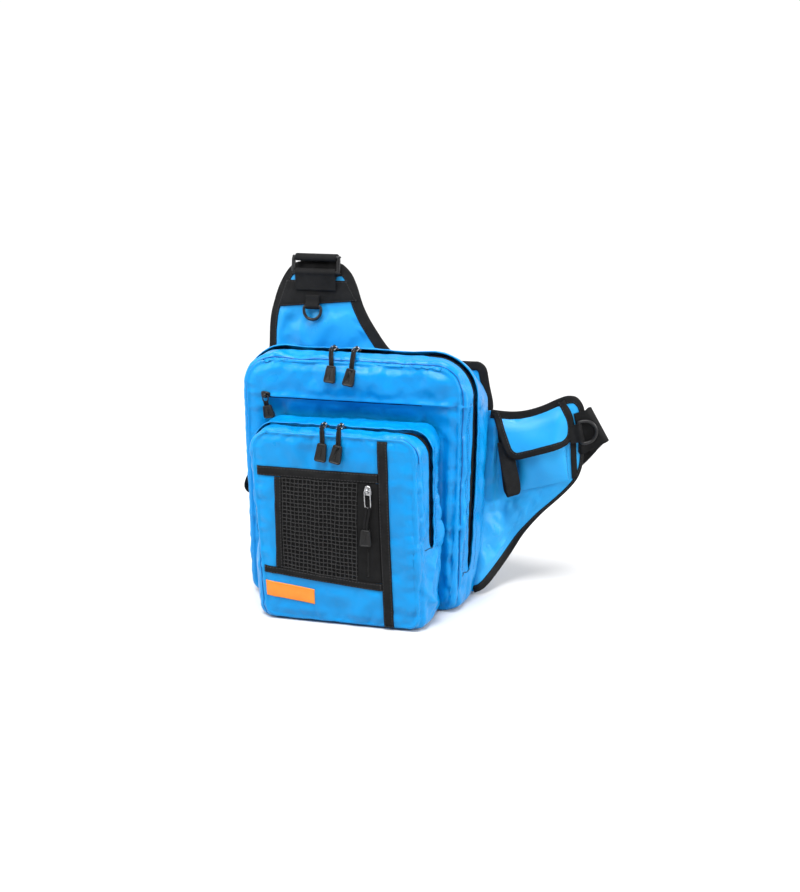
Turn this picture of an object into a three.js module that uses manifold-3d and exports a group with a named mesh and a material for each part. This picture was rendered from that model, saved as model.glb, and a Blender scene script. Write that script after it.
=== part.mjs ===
// One-shoulder sling bag, standing on its base. Millimetres, +Z up, front towards -Y.
// The origin lies on the floor under the middle of the main compartment.
import * as THREE from "three";
import Module from "manifold-3d";

const wasm = await Module();
wasm.setup();

// Driving sizes
const WALL = 2;
const BASE_JOIN = 25;
const GAP = 0.3;
const TAPE_WIDE = 9;
const TAPE_THICK = 1;
const PAD_EDGE = 1.4;
const PAD_MID = 4;
const WEB_WIDE = 50;
const WEB_THICK = 1.6;
const STRAP_LENGTH = 470;
const RING_RADIUS = 2.4;
const D_RADIUS = 1.8;
const WIRE_RADIUS = 0.7;

// Main compartment from front seam to back seam: depth, half width, top and base edge,
// corner radii, loss of half width towards the base, shift to the right at the base
const MAIN_SECTIONS = [
  { y: -50, half: 121, top: 277, base: 2, rTop: 28, rBase: 18, taper: 3, shift: 0 },
  { y: -43, half: 127.5, top: 282, base: 0, rTop: 36, rBase: 15, taper: 4, shift: 0 },
  { y: -27, half: 132.5, top: 286, base: 0, rTop: 45, rBase: 14, taper: 6, shift: 0 },
  { y: -17, half: 133.5, top: 286.5, base: 0, rTop: 47, rBase: 14, taper: 7, shift: 0 },
  { y: 15, half: 135, top: 278, base: 0, rTop: 52, rBase: 14, taper: 9, shift: 0 },
  { y: 43, half: 134, top: 264, base: 0, rTop: 46, rBase: 15, taper: 9, shift: 0 },
  { y: 50, half: 131, top: 258, base: 2, rTop: 42, rBase: 18, taper: 9, shift: 0 },
];
const MAIN_ZIP = { front: 2, end: 42 };
const MAIN_BULGE = { base: 232, top: 277, depth: 9 };
const MAIN_RINGS = [0, 0.34, 0.6, 0.7, 0.82, 0.93];

// Front pocket from its front seam to the rim on the main front
const POCKET_SECTIONS = [
  { y: -118, half: 90, top: 212, base: 4, rTop: 18, rBase: 12, taper: 4, shift: 8 },
  { y: -112, half: 95, top: 213, base: 0, rTop: 22, rBase: 12, taper: 2, shift: 6 },
  { y: -92, half: 99, top: 214, base: 0, rTop: 25, rBase: 12, taper: 0, shift: 3 },
  { y: -84, half: 100, top: 214.5, base: 0, rTop: 25, rBase: 12, taper: 0, shift: 2 },
  { y: -50.3, half: 101, top: 215.5, base: 0, rTop: 24, rBase: 12, taper: 0, shift: 0 },
];
const POCKET_ZIP = { front: 2, end: 88 };
const POCKET_RINGS = [0, 0.34, 0.6, 0.8, 0.93];
const POCKET_FACE = { y: -118, half: 92, middle: 106, reach: 108, crown: 5 };

// Back panel: height, left edge, right edge
const BACK_ROWS = [
  { z: 5, left: -118, right: 112 },
  { z: 14, left: -127, right: 121 },
  { z: 40, left: -131, right: 127 },
  { z: 120, left: -133, right: 130 },
  { z: 205, left: -133, right: 134 },
  { z: 213, left: -133, right: 135.3 },
  { z: 219, left: -133, right: 137 },
  { z: 240, left: -133, right: 132.5 },
  { z: 256, left: -133, right: 129.5 },
  { z: 262, left: -133, right: 126 },
  { z: 265.5, left: -132.5, right: 120 },
];
const BACK_DEPTH = 53.8;
const BACK_PAD = 3.5;

// Shoulder yoke: height, left edge, right edge
const SHOULDER_ROWS = [
  { z: 265.8, left: -132.5, right: 30 },
  { z: 272, left: -132, right: 18 },
  { z: 281, left: -131.5, right: 9 },
  { z: 295, left: -131, right: -1 },
  { z: 311, left: -129.5, right: -11.5 },
  { z: 327, left: -125.5, right: -19.5 },
  { z: 343, left: -120.5, right: -25 },
  { z: 358, left: -113, right: -32 },
  { z: 367, left: -106, right: -40 },
  { z: 372, left: -98, right: -48 },
];
const SHOULDER_LEAN = 0.0008;

// Hip wing from the bag's side to the tip: base point and top point of each row
const HIP_ROWS = [
  { xBase: 127.5, zBase: 3, xTop: 136.2, zTop: 211 },
  { xBase: 138, zBase: 8, xTop: 146, zTop: 210 },
  { xBase: 148, zBase: 20, xTop: 158, zTop: 209.5 },
  { xBase: 161, zBase: 40, xTop: 170, zTop: 210.5 },
  { xBase: 176, zBase: 66, xTop: 184, zTop: 214 },
  { xBase: 195, zBase: 90, xTop: 198, zTop: 219.5 },
  { xBase: 213, zBase: 108, xTop: 213, zTop: 227 },
  { xBase: 228, zBase: 124, xTop: 226, zTop: 230.5 },
  { xBase: 237, zBase: 138, xTop: 235.5, zTop: 226 },
  { xBase: 241, zBase: 154, xTop: 241, zTop: 213 },
];
const HIP_SWEEP = 0.0012;

// Net pocket on the front: edges in the plane of the pocket face
const NET = { left: -57.7, right: 27.7, top: 164, acrossGaps: 7, upGaps: 9, bar: 0.36 };
const BAND = {
  topLow: 164.5,
  topHigh: 175,
  left: -86,
  right: 48.5,
  lowLeft: 63,
  lowRight: 52.5,
  wide: 8.2,
};

// Square ring and D-rings
const RING = { x: -73.5, z: 361, half: 27.2, tall: 17, out: -9, corner: 2.5 };
const SHOULDER_D = { x: -76.4, z: 323, half: 10.3, leg: 5, tab: 16 };
const HIP_D = { half: 12.6, leg: 6, tab: 21 };

// Zip pulls: slider place, direction of the zip, outward direction, then the way of the pull
const PULLS = [
  {
    name: "main_a",
    at: [-28, -22, 286.1],
    along: [1, 0, 0],
    out: [0, 0, 1],
    wireEnd: [-27, -35, 288.5],
    cord: [[-24, -47, 284.5], [-20.6, -57, 280.2], [-20, -58.4, 276.2]],
    gripEnd: [-21.5, -63, 257.5],
    face: [0, -1, 0.2],
  },
  {
    name: "main_b",
    at: [-2, -22, 286.1],
    along: [1, 0, 0],
    out: [0, 0, 1],
    wireEnd: [-1, -35, 288.5],
    cord: [[1, -47, 284.5], [3, -57, 279.5], [2.8, -58.6, 274]],
    gripEnd: [-0.5, -63, 255],
    face: [0, -1, 0.2],
  },
  {
    name: "pocket_a",
    at: [-19, -88, 213.9],
    along: [1, 0, 0],
    out: [0, 0, 1],
    wireEnd: [-17.5, -101, 216],
    cord: [[-14, -113, 217.5], [-10.5, -122.6, 211.5], [-10, -124, 205.5]],
    gripEnd: [-12.5, -125.2, 185.5],
    face: [0, -1, 0.08],
  },
  {
    name: "pocket_b",
    at: [0, -88, 213.9],
    along: [1, 0, 0],
    out: [0, 0, 1],
    wireEnd: [1.5, -101, 216],
    cord: [[5, -113, 217.5], [7.5, -122.6, 211], [7.5, -124, 204.5]],
    gripEnd: [3.5, -125.2, 184.5],
    face: [0, -1, 0.08],
  },
  {
    name: "welt",
    at: [-98, -53.9, 239],
    along: [1, 0, 0],
    out: [0, -1, -0.34],
    wireEnd: [-97.3, -57.8, 230.8],
    cord: [[-97.1, -57.5, 229.2], [-96.9, -57, 228.2], [-96.7, -56.5, 227.2]],
    gripEnd: [-94.2, -54.4, 212.4],
    face: [0, -1, -0.12],
  },
  {
    name: "net",
    at: [40, -123.35, 157],
    along: [0, 0, 1],
    out: [0, -1, 0],
    wireEnd: [40.5, -126.2, 138.5],
    cord: [[40, -126.6, 131], [38.6, -126.8, 122], [38, -126.7, 114.5]],
    gripEnd: [38, -126.7, 96],
    face: [0, -1, 0],
  },
];

// Materials
const cloth = (color) => new THREE.MeshStandardMaterial({ color, roughness: 0.62, metalness: 0 });
const blue = cloth(0x1c9ae0);
const black = new THREE.MeshStandardMaterial({ color: 0x17181b, roughness: 0.85, metalness: 0 });
const orange = new THREE.MeshStandardMaterial({ color: 0xe8591c, roughness: 0.7, metalness: 0 });
const plastic = new THREE.MeshStandardMaterial({ color: 0x2b2d31, roughness: 0.45, metalness: 0 });
const rubber = new THREE.MeshStandardMaterial({ color: 0x1b1c1f, roughness: 0.6, metalness: 0 });
const steel = new THREE.MeshStandardMaterial({ color: 0xb9bcc0, roughness: 0.3, metalness: 0.9 });

const group = new THREE.Group();
group.name = "shoulder_bag";

const V = (x, y, z) => new THREE.Vector3(x, y, z);
const mix = (a, b, t) => a + (b - a) * t;
const clamp = (t) => Math.min(1, Math.max(0, t));
const smooth = (t) => clamp(t) ** 2 * (3 - 2 * clamp(t));

function add(name, geometry, material, parent = group) {
  const mesh = new THREE.Mesh(geometry, material.clone());
  mesh.name = name;
  parent.add(mesh);
  return mesh;
}

// An indexed geometry from a list of triangle corners, with equal corners shared and faces outward
function geometryOf(corners) {
  const ids = new Map();
  const positions = [];
  const faces = [];
  const idOf = (p) => {
    const key = [p.x, p.y, p.z].map((c) => Math.round(c * 500)).join(",");
    if (!ids.has(key)) {
      ids.set(key, positions.length / 3);
      positions.push(p.x, p.y, p.z);
    }
    return ids.get(key);
  };
  let volume = 0;
  for (let n = 0; n < corners.length; n += 3) {
    const [p, q, r] = corners.slice(n, n + 3);
    const [a, b, c] = [idOf(p), idOf(q), idOf(r)];
    if (a === b || b === c || c === a) continue;
    faces.push(a, b, c);
    volume += p.dot(q.clone().cross(r));
  }
  if (volume < 0) faces.reverse();
  const geometry = new THREE.BufferGeometry();
  geometry.setAttribute("position", new THREE.Float32BufferAttribute(positions, 3));
  geometry.setIndex(faces);
  geometry.computeVertexNormals();
  return geometry;
}

// A solid between two facing grids of points, walled round its edges and round left-out cells
function sheetSolid(front, back, { loop = false, keep = () => true } = {}) {
  const rows = front.length;
  const cols = front[0].length;
  const cells = loop ? rows : rows - 1;
  const corners = [];
  const quad = (a, b, c, d) => corners.push(a, b, c, a, c, d);
  const has = (i, k) => {
    if (k < 0 || k > cols - 2) return false;
    if (!loop && (i < 0 || i > cells - 1)) return false;
    return keep((i + cells) % cells, k);
  };
  for (let i = 0; i < cells; i += 1) {
    const j = (i + 1) % rows;
    for (let k = 0; k < cols - 1; k += 1) {
      if (!has(i, k)) continue;
      quad(front[i][k], front[j][k], front[j][k + 1], front[i][k + 1]);
      quad(back[i][k], back[i][k + 1], back[j][k + 1], back[j][k]);
      if (!has(i, k - 1)) quad(front[i][k], back[i][k], back[j][k], front[j][k]);
      if (!has(i, k + 1)) quad(front[j][k + 1], back[j][k + 1], back[i][k + 1], front[i][k + 1]);
      if (!has(i - 1, k)) quad(front[i][k + 1], back[i][k + 1], back[i][k], front[i][k]);
      if (!has(i + 1, k)) quad(front[j][k], back[j][k], back[j][k + 1], front[j][k + 1]);
    }
  }
  return geometryOf(corners);
}

// A closed ring of round wire through the points of a flat loop
function closedTube(points, normal, radius, sides) {
  const count = points.length;
  const rings = points.map((p, n) => {
    const before = points[(n + count - 1) % count];
    const after = points[(n + 1) % count];
    const side = after.clone().sub(before).normalize().cross(normal).normalize();
    return Array.from({ length: sides }, (_, s) => {
      const a = (s * 2 * Math.PI) / sides;
      const swing = side.clone().multiplyScalar(Math.cos(a) * radius);
      return p.clone().add(swing).addScaledVector(normal, Math.sin(a) * radius);
    });
  });
  const corners = [];
  rings.forEach((ring, n) => {
    const next = rings[(n + 1) % count];
    ring.forEach((p, s) => {
      const t = (s + 1) % sides;
      corners.push(p, next[s], next[t], p, next[t], ring[t]);
    });
  });
  return geometryOf(corners);
}

function solidOf(geometry) {
  const { index, attributes } = geometry;
  const length = index ? index.count : attributes.position.count;
  const corners = Array.from({ length }, (_, n) =>
    V(0, 0, 0).fromBufferAttribute(attributes.position, index ? index.getX(n) : n),
  );
  const plain = geometryOf(corners);
  return new wasm.Manifold(
    new wasm.Mesh({
      numProp: 3,
      vertProperties: plain.attributes.position.array,
      triVerts: new Uint32Array(plain.index.array),
    }),
  );
}

function joined(a, b) {
  const made = solidOf(a).add(solidOf(b)).getMesh();
  const corners = Array.from(made.triVerts, (v) =>
    V(...made.vertProperties.slice(v * made.numProp, v * made.numProp + 3)),
  );
  return geometryOf(corners);
}

// Round outline of one section: base middle, right side, top, left side
function sectionLoop(s, zipEnd, inset = 0) {
  const base = s.base + inset;
  const top = s.top - inset;
  const rBase = s.rBase - inset;
  const rTop = s.rTop - inset;
  const half = (z) => s.half - inset - s.taper * clamp(1 - z / 200);
  const right = [[BASE_JOIN, base]];
  right.push([(half(base) - rBase) / 2, base]);
  for (const a of [0, 30, 60, 90].map(THREE.MathUtils.degToRad)) {
    const z = base + rBase * (1 - Math.cos(a));
    right.push([half(z) - rBase * (1 - Math.sin(a)), z]);
  }
  for (let n = 0; n < 5; n += 1) {
    const z = mix(zipEnd, top - rTop, n / 5);
    right.push([half(z), z]);
  }
  for (const a of [0, 22.5, 45, 67.5, 90].map(THREE.MathUtils.degToRad)) {
    const z = top - rTop * (1 - Math.sin(a));
    right.push([half(z) - rTop * (1 - Math.cos(a)), z]);
  }
  right.push([(half(top) - rTop) / 2, top]);
  right.push([0, top]);
  const left = right.slice(1, -1).reverse().map(([x, z]) => [-x, z]);
  return [...right, ...left].map(([x, z]) => [x + s.shift * clamp(1 - z / 170), z]);
}
const ZIP_FIRST = 6;
const ZIP_LAST = 28;

// Rows of points of a bag shell, from the middle of its front to its back
function shellGrid(sections, rings, zipEnd, frontFace, backDepth, inset) {
  const first = sections[0];
  const last = sections[sections.length - 1];
  const ring = (s, scale, depth) => {
    const middle = (s.top + s.base) / 2;
    const across = s.shift * clamp(1 - middle / 170);
    return sectionLoop(s, zipEnd, inset).map(([x, z]) => {
      const px = across + (x - across) * scale;
      const pz = middle + (z - middle) * scale;
      return V(px, depth(px, pz), pz);
    });
  };
  const columns = rings.map((scale) =>
    ring(first, scale, (x, z) => frontFace(x, z) + inset),
  );
  sections.forEach((s, n) => {
    const isLast = n === sections.length - 1 && backDepth !== undefined;
    const turn = n === 0 ? inset : isLast ? -inset : 0;
    columns.push(ring(s, 1, () => s.y + turn));
  });
  if (backDepth !== undefined) {
    for (const scale of [0.85, 0.45, 0]) columns.push(ring(last, scale, () => backDepth - inset));
  }
  return columns[0].map((_, i) => columns.map((column) => column[i]));
}

// Zip strip that fills the slot between two sections
function zipStrip(sections, zip, outer, inner) {
  const a = sections[zip.front];
  const b = sections[zip.front + 1];
  const width = Math.abs(b.y - a.y);
  const rows = (inset) => {
    const loopA = sectionLoop(a, zip.end, inset);
    const loopB = sectionLoop(b, zip.end, inset);
    const line = [];
    for (let r = ZIP_FIRST; r <= ZIP_LAST; r += 1) {
      const pA = V(loopA[r][0], a.y, loopA[r][1]);
      const pB = V(loopB[r][0], b.y, loopB[r][1]);
      if (r === ZIP_FIRST || r === ZIP_LAST) {
        pA.z += GAP * 1.5;
        pB.z += GAP * 1.5;
      }
      line.push([GAP / width, 0.5, 1 - GAP / width].map((t) => pA.clone().lerp(pB, t)));
    }
    return line;
  };
  return sheetSolid(rows(outer), rows(inner));
}

// Front of the main compartment above the pocket
function mainFace(x, z) {
  const t = clamp((z - MAIN_BULGE.base) / (MAIN_BULGE.top - MAIN_BULGE.base));
  return -50 - MAIN_BULGE.depth * Math.sin(Math.PI * t) * clamp(1 - (x / 121) ** 4);
}

// Front of the pocket
function pocketFace(x, z) {
  const f = POCKET_FACE;
  return f.y - f.crown * clamp(1 - (x / f.half) ** 2) * clamp(1 - ((z - f.middle) / f.reach) ** 2);
}

// A strip on a face between four corners given as x and z: low left, low right, high left, high right
function facePatch(face, [ll, lr, hl, hr], across, up, thick, { lift = GAP, keep, lines } = {}) {
  const us = lines ? lines.across : Array.from({ length: across + 1 }, (_, n) => n / across);
  const vs = lines ? lines.up : Array.from({ length: up + 1 }, (_, n) => n / up);
  const grid = (height) =>
    us.map((u) =>
      vs.map((v) => {
        const x = mix(mix(ll[0], lr[0], u), mix(hl[0], hr[0], u), v);
        const z = mix(mix(ll[1], lr[1], u), mix(hl[1], hr[1], u), v);
        return V(x, face(x, z) - height, z);
      }),
    );
  return sheetSolid(grid(lift + thick), grid(lift), { keep });
}

// A padded panel with thin edges from rows of end points
function paddedPanel(rows, depth, mid, edgeReach) {
  const columns = (a, b) => {
    const reach = edgeReach / a.distanceTo(b);
    const rise = Math.min(reach * 1.9, (reach + 0.5) / 2);
    return [0, reach, rise, 0.5, 1 - rise, 1 - reach, 1];
  };
  const halves = [PAD_EDGE, PAD_EDGE, mid * 0.85, mid, mid * 0.85, PAD_EDGE, PAD_EDGE];
  const grid = (sign) =>
    rows.map(({ a, b, thin }) =>
      columns(a, b).map((t, n) => {
        const p = a.clone().lerp(b, t);
        const half = thin ? PAD_EDGE : halves[n];
        return V(p.x, depth(p.x, p.z) + sign * half, p.z);
      }),
    );
  return sheetSolid(grid(-1), grid(1));
}

// Folded tape along an edge: each row has the edge point, the inward direction and the tape's reach
function edgeTape(rows, clear = GAP) {
  const grid = (outside) =>
    rows.map(({ edge, inward, reach }) => {
      const half = PAD_EDGE + clear + (outside ? TAPE_THICK : 0);
      const lip = -GAP - (outside ? TAPE_THICK : 0);
      return [[reach, -half], [lip, -half], [lip, half], [reach, half]].map(([s, h]) =>
        edge.clone().addScaledVector(inward, s).add(V(0, h, 0)),
      );
    });
  return sheetSolid(grid(true), grid(false));
}

// Edge row of a padded panel at point a, looking towards point b
function tapeRow(a, b, depth, edgeReach, reach) {
  const share = edgeReach / a.distanceTo(b);
  const inner = a.clone().lerp(b, share);
  const edge = V(a.x, depth(a.x, a.z), a.z);
  inner.y = depth(inner.x, inner.z);
  const inward = inner.sub(edge).multiplyScalar(1 / edgeReach);
  return { edge, inward, reach };
}

// A ribbon of webbing bent along a line in the plane across its width
function bentRibbon(line, half, thick) {
  const sides = line.map((p, n) => {
    const before = line[Math.max(0, n - 1)];
    const after = line[Math.min(line.length - 1, n + 1)];
    const along = new THREE.Vector2(after[0] - before[0], after[1] - before[1]).normalize();
    return [-along.y * 0.5 * thick, along.x * 0.5 * thick];
  });
  const grid = (sign) =>
    line.map((p, n) =>
      [-half, half].map((x) => V(x, p[0] + sign * sides[n][0], p[1] + sign * sides[n][1])),
    );
  return sheetSolid(grid(1), grid(-1));
}

// Points of a D: straight bar at height 0, legs and round end below
function dLoop({ half, leg }) {
  const points = [[-half + 2.4, 0], [0, 0], [half - 2.4, 0]];
  points.push([half - 0.5, -0.9], [half, -2.8], [half, -leg]);
  for (let n = 1; n < 8; n += 1) {
    const a = (n * Math.PI) / 8;
    points.push([half * Math.cos(a), -leg - half * Math.sin(a)]);
  }
  points.push([-half, -leg], [-half, -2.8], [-half + 0.5, -0.9]);
  return points.map(([x, z]) => V(x, 0, z));
}

// Main compartment
const mainOptions = {
  loop: true,
  keep: (i, k) => !(k === MAIN_RINGS.length + MAIN_ZIP.front && i >= ZIP_FIRST && i < ZIP_LAST),
};
const mainGrid = (inset) => shellGrid(MAIN_SECTIONS, MAIN_RINGS, MAIN_ZIP.end, mainFace, 50, inset);
add("main_shell", sheetSolid(mainGrid(0), mainGrid(WALL), mainOptions), blue);
add("main_zipper", zipStrip(MAIN_SECTIONS, MAIN_ZIP, 0.4, 1.9), black);

// Flat pocket high on the front
const weltCorners = [[-90, 236.5], [114, 237], [-90, 245.5], [113, 246]];
const weltZipCorners = [[-104, 236.8], [80, 237], [-104, 243], [80, 243.2]];
add("welt_zipper", facePatch(mainFace, weltZipCorners, 14, 1, 1), black);
add("welt_flap", facePatch(mainFace, weltCorners, 14, 2, 1.6, { lift: 2 * GAP + 1.2 }), blue);

// Front pocket
const pocketOptions = {
  loop: true,
  keep: (i, k) => !(k === POCKET_RINGS.length + POCKET_ZIP.front && i >= ZIP_FIRST && i < ZIP_LAST),
};
const pocketGrid = (inset) =>
  shellGrid(POCKET_SECTIONS, POCKET_RINGS, POCKET_ZIP.end, pocketFace, undefined, inset);
add("pocket_shell", sheetSolid(pocketGrid(0), pocketGrid(WALL), pocketOptions), blue);
add("pocket_zipper", zipStrip(POCKET_SECTIONS, POCKET_ZIP, 0.4, 1.9), black);

// Tapes, net and label on the front of the pocket
const lowEdge = (x) => mix(BAND.lowLeft, BAND.lowRight, (x - BAND.left) / (BAND.right - BAND.left));
const faceBox = (x0, x1, low, high) => [[x0, low(x0)], [x1, low(x1)], [x0, high(x0)], [x1, high(x1)]];
const level = (z) => () => z;
const netLow = (x) => lowEdge(x) + GAP;
const bandHigh = faceBox(BAND.left, BAND.right, level(BAND.topLow), level(BAND.topHigh));
add("band_top", facePatch(pocketFace, bandHigh, 7, 1, 1.4), black);
const bandBase = faceBox(-80, BAND.right, (x) => lowEdge(x) - BAND.wide, lowEdge);
add("band_bottom", facePatch(pocketFace, bandBase, 7, 1, 1.4), black);
const upright = [[56, 8], [67, 8], [48.8, 208], [60, 208]];
add("band_upright", facePatch(pocketFace, upright, 1, 12, 1.4), black);
const sideTape = faceBox(-66, NET.left - GAP, netLow, level(NET.top));
add("net_edge", facePatch(pocketFace, sideTape, 1, 6, 1.6), black);
const netTape = faceBox(NET.right + GAP, BAND.right, netLow, level(NET.top));
add("net_zipper", facePatch(pocketFace, netTape, 2, 6, 1.6), black);
const netLines = (gaps) => {
  const cell = 1 / (gaps + NET.bar);
  return Array.from({ length: 2 * gaps + 2 }, (_, n) => (Math.floor(n / 2) + (n % 2) * NET.bar) * cell);
};
const netOptions = {
  lines: { across: netLines(NET.acrossGaps), up: netLines(NET.upGaps) },
  keep: (i, k) => !(i % 2 === 1 && k % 2 === 1),
};
const netBox = faceBox(NET.left, NET.right, netLow, level(NET.top));
add("net_panel", facePatch(pocketFace, netBox, 0, 0, 1, netOptions), black);
const labelBox = [[-78, 27.5], [-22, 22.5], [-79, 45], [-22, 39.5]];
add("label_patch", facePatch(pocketFace, labelBox, 4, 1, 1), orange);

// Back panel and the tape on its free edge
const backRows = BACK_ROWS.map((r) => ({
  a: V(r.left, 0, r.z),
  b: V(r.right, 0, r.z),
  thin: r.z < 10 || r.z > 250,
}));
add("back_panel", paddedPanel(backRows, () => BACK_DEPTH, BACK_PAD, 14), blue);
const flatEdge = (x, z, dx, dz) => ({ edge: V(x, BACK_DEPTH, z), inward: V(dx, 0, dz), reach: TAPE_WIDE });
const backEdge = [
  ...[40, 80, 113].map((x) => flatEdge(x, 265.5, 0, -1)),
  flatEdge(120, 265.5, -0.42, -0.91),
  flatEdge(126, 262, -0.8, -0.6),
  flatEdge(129.5, 256, -0.96, -0.27),
  flatEdge(132.5, 240, -0.97, -0.2),
  flatEdge(137, 219, -0.97, -0.2),
];
add("back_binding", edgeTape(backEdge), black);

// Shoulder yoke
const shoulderDepth = (x, z) => BACK_DEPTH + SHOULDER_LEAN * Math.max(0, z - 265) ** 2;
const shoulderRows = SHOULDER_ROWS.map((r) => ({
  a: V(r.left, 0, r.z),
  b: V(r.right, 0, r.z),
  thin: r.z > 357 || r.z < 268,
}));
add("shoulder_wing", paddedPanel(shoulderRows, shoulderDepth, PAD_MID, 14), blue);
const yokeRow = (r, n, side) => {
  const [a, b] = side < 0 ? [r.a, r.b] : [r.b, r.a];
  const slant = side < 0 ? 1 : 1.25;
  return tapeRow(a, b, shoulderDepth, 14, n > 7 ? 12 : TAPE_WIDE * slant);
};
const yokeTop = tapeRow(V(-73, 0, 372), V(-73, 0, 340), shoulderDepth, 9, TAPE_WIDE);
const shoulderEdge = [
  ...shoulderRows.map((r, n) => yokeRow(r, n, -1)),
  yokeTop,
  ...shoulderRows.map((r, n) => yokeRow(r, n, 1)).reverse(),
];
add("shoulder_binding", edgeTape(shoulderEdge), black);
const shoulderFront = (x, z) => shoulderDepth(x, z) - PAD_MID;
const patchBox = [[-115, 321], [-32, 327], [-104, 353], [-43, 354]];
add("shoulder_patch", facePatch(shoulderFront, patchBox, 4, 3, 1.6), black);

// Ring, its loop and the strap's end, leaning with the yoke
const yokeHead = new THREE.Group();
yokeHead.position.set(RING.x, shoulderDepth(0, RING.z), RING.z);
yokeHead.rotation.x = -Math.atan(2 * SHOULDER_LEAN * (RING.z - 265));
group.add(yokeHead);
const ringPoints = [];
const ringSide = RING.half - RING.corner;
const ringTop = RING.tall - RING.corner;
const ringCorners = [
  [ringSide, ringTop],
  [-ringSide, ringTop],
  [-ringSide, RING.corner],
  [ringSide, RING.corner],
];
ringCorners.forEach(([cx, cz], quarter) => {
  for (const turn of [0, 45, 90]) {
    const a = THREE.MathUtils.degToRad(quarter * 90 + turn);
    ringPoints.push(V(cx + RING.corner * Math.cos(a), RING.out, cz + RING.corner * Math.sin(a)));
  }
});
add("square_ring", closedTube(ringPoints, V(0, 1, 0), RING_RADIUS, 10), plastic, yokeHead);
const wrap = RING_RADIUS + 0.4 + WEB_THICK / 2;
const about = (z, degrees) => {
  const a = THREE.MathUtils.degToRad(degrees);
  return [RING.out + wrap * Math.cos(a), z + wrap * Math.sin(a)];
};
const loopTurns = [240, 210, 180, 150, 120, 90, 60, 30, 0, -30];
const loopLine = [[-8.1, -20], [-9.2, -12], ...loopTurns.map((a) => about(0, a)), [-5.9, -7.5]];
add("ring_loop", bentRibbon(loopLine, WEB_WIDE / 2 - 0.4, WEB_THICK), black, yokeHead);
const strapTurns = [80, 120, 150, 180, 210, 240, 270, 300];
const strapEndLine = [
  ...[[8, 1], [8, 8], [7, 14], [3.5, 18.6], [-2.5, 20.6]],
  ...strapTurns.map((a) => about(RING.tall, a)),
];
add("strap_loop", bentRibbon(strapEndLine, WEB_WIDE / 2 - 0.4, WEB_THICK), black, yokeHead);

// Shoulder D-ring on its tab
const dHead = new THREE.Group();
dHead.position.set(SHOULDER_D.x, shoulderFront(0, SHOULDER_D.z) - 5.4, SHOULDER_D.z);
dHead.rotation.x = -Math.atan(2 * SHOULDER_LEAN * (SHOULDER_D.z - 265));
group.add(dHead);
add("d_ring_shoulder", closedTube(dLoop(SHOULDER_D), V(0, 1, 0), D_RADIUS, 9), plastic, dHead);
const dWrap = D_RADIUS + 0.35 + 0.6;
const dTabLine = [[1.6, 13]];
for (const degrees of [60, 20, -20, -60, -100, -140, -180, -220]) {
  const a = THREE.MathUtils.degToRad(degrees);
  dTabLine.push([dWrap * Math.cos(a), dWrap * Math.sin(a)]);
}
dTabLine.push([-0.2, 6], [-0.1, 13]);
add("d_tab_shoulder", bentRibbon(dTabLine, SHOULDER_D.tab / 2, 1.2), black, dHead);

// Hip wing
function hipDepth(x, z) {
  const sewn = 52 - 38 * smooth(1 - z / 190);
  const free = 54 + HIP_SWEEP * Math.max(0, x - 150) ** 2;
  return mix(sewn, free, smooth((x - 131) / 34));
}
const hipRows = HIP_ROWS.map((r, n) => ({
  a: V(r.xBase, 0, r.zBase),
  b: V(r.xTop, 0, r.zTop),
  thin: n === 0 || n > 6,
}));
add("hip_wing", paddedPanel(hipRows, hipDepth, PAD_MID, 17), blue);
const tipRowEdge = tapeRow(V(241, 0, 184), V(200, 0, 184), hipDepth, 9, TAPE_WIDE);
const hipEdge = [
  ...hipRows.map((r) => tapeRow(r.b, r.a, hipDepth, 17, 10)),
  tipRowEdge,
  ...hipRows.map((r) => tapeRow(r.a, r.b, hipDepth, 17, 13)).reverse(),
];
add("hip_binding", edgeTape(hipEdge, 0.55), black);

// Small pocket on the wing, with its flap and tapes
const hipFront = (x, z) => hipDepth(x, z) - PAD_MID;
const pouchBox = [[171, 118], [226.5, 133], [167, 184], [220, 191]];
const pouchBulge = (u, v) => 8 * Math.sin(Math.PI * u) ** 0.6 * Math.sin((Math.PI / 2) * clamp(v / 0.55));
const pouchGrid = (thick) =>
  Array.from({ length: 11 }, (_, i) => i / 10).map((u) =>
    Array.from({ length: 7 }, (_, k) => k / 6).map((v) => {
      const [ll, lr, hl, hr] = pouchBox;
      const x = mix(mix(ll[0], lr[0], u), mix(hl[0], hr[0], u), v);
      const z = mix(mix(ll[1], lr[1], u), mix(hl[1], hr[1], u), v);
      return V(x, hipFront(x, z) - GAP - thick - pouchBulge(u, v), z);
    }),
  );
add("wing_pocket", sheetSolid(pouchGrid(1.5), pouchGrid(0)), blue);
const flapCorners = [[165, 157], [225.5, 173], [149, 203], [220, 217]];
const flapLift = (v) => 2.2 + 11.5 * Math.sin((Math.PI / 2) * (1 - v));
const flapPoint = (u, v, height) => {
  const [ll, lr, hl, hr] = flapCorners;
  const x = mix(mix(ll[0], lr[0], u), mix(hl[0], hr[0], u), v);
  const z = mix(mix(ll[1], lr[1], u), mix(hl[1], hr[1], u), v);
  return V(x, hipFront(x, z) - flapLift(v) - height, z);
};
const flapSteps = Array.from({ length: 7 }, (_, n) => n / 6);
const flapGrid = (height) => flapSteps.map((u) => flapSteps.map((v) => flapPoint(u, v, height)));
add("wing_flap", sheetSolid(flapGrid(1.6), flapGrid(0)), blue);
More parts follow.
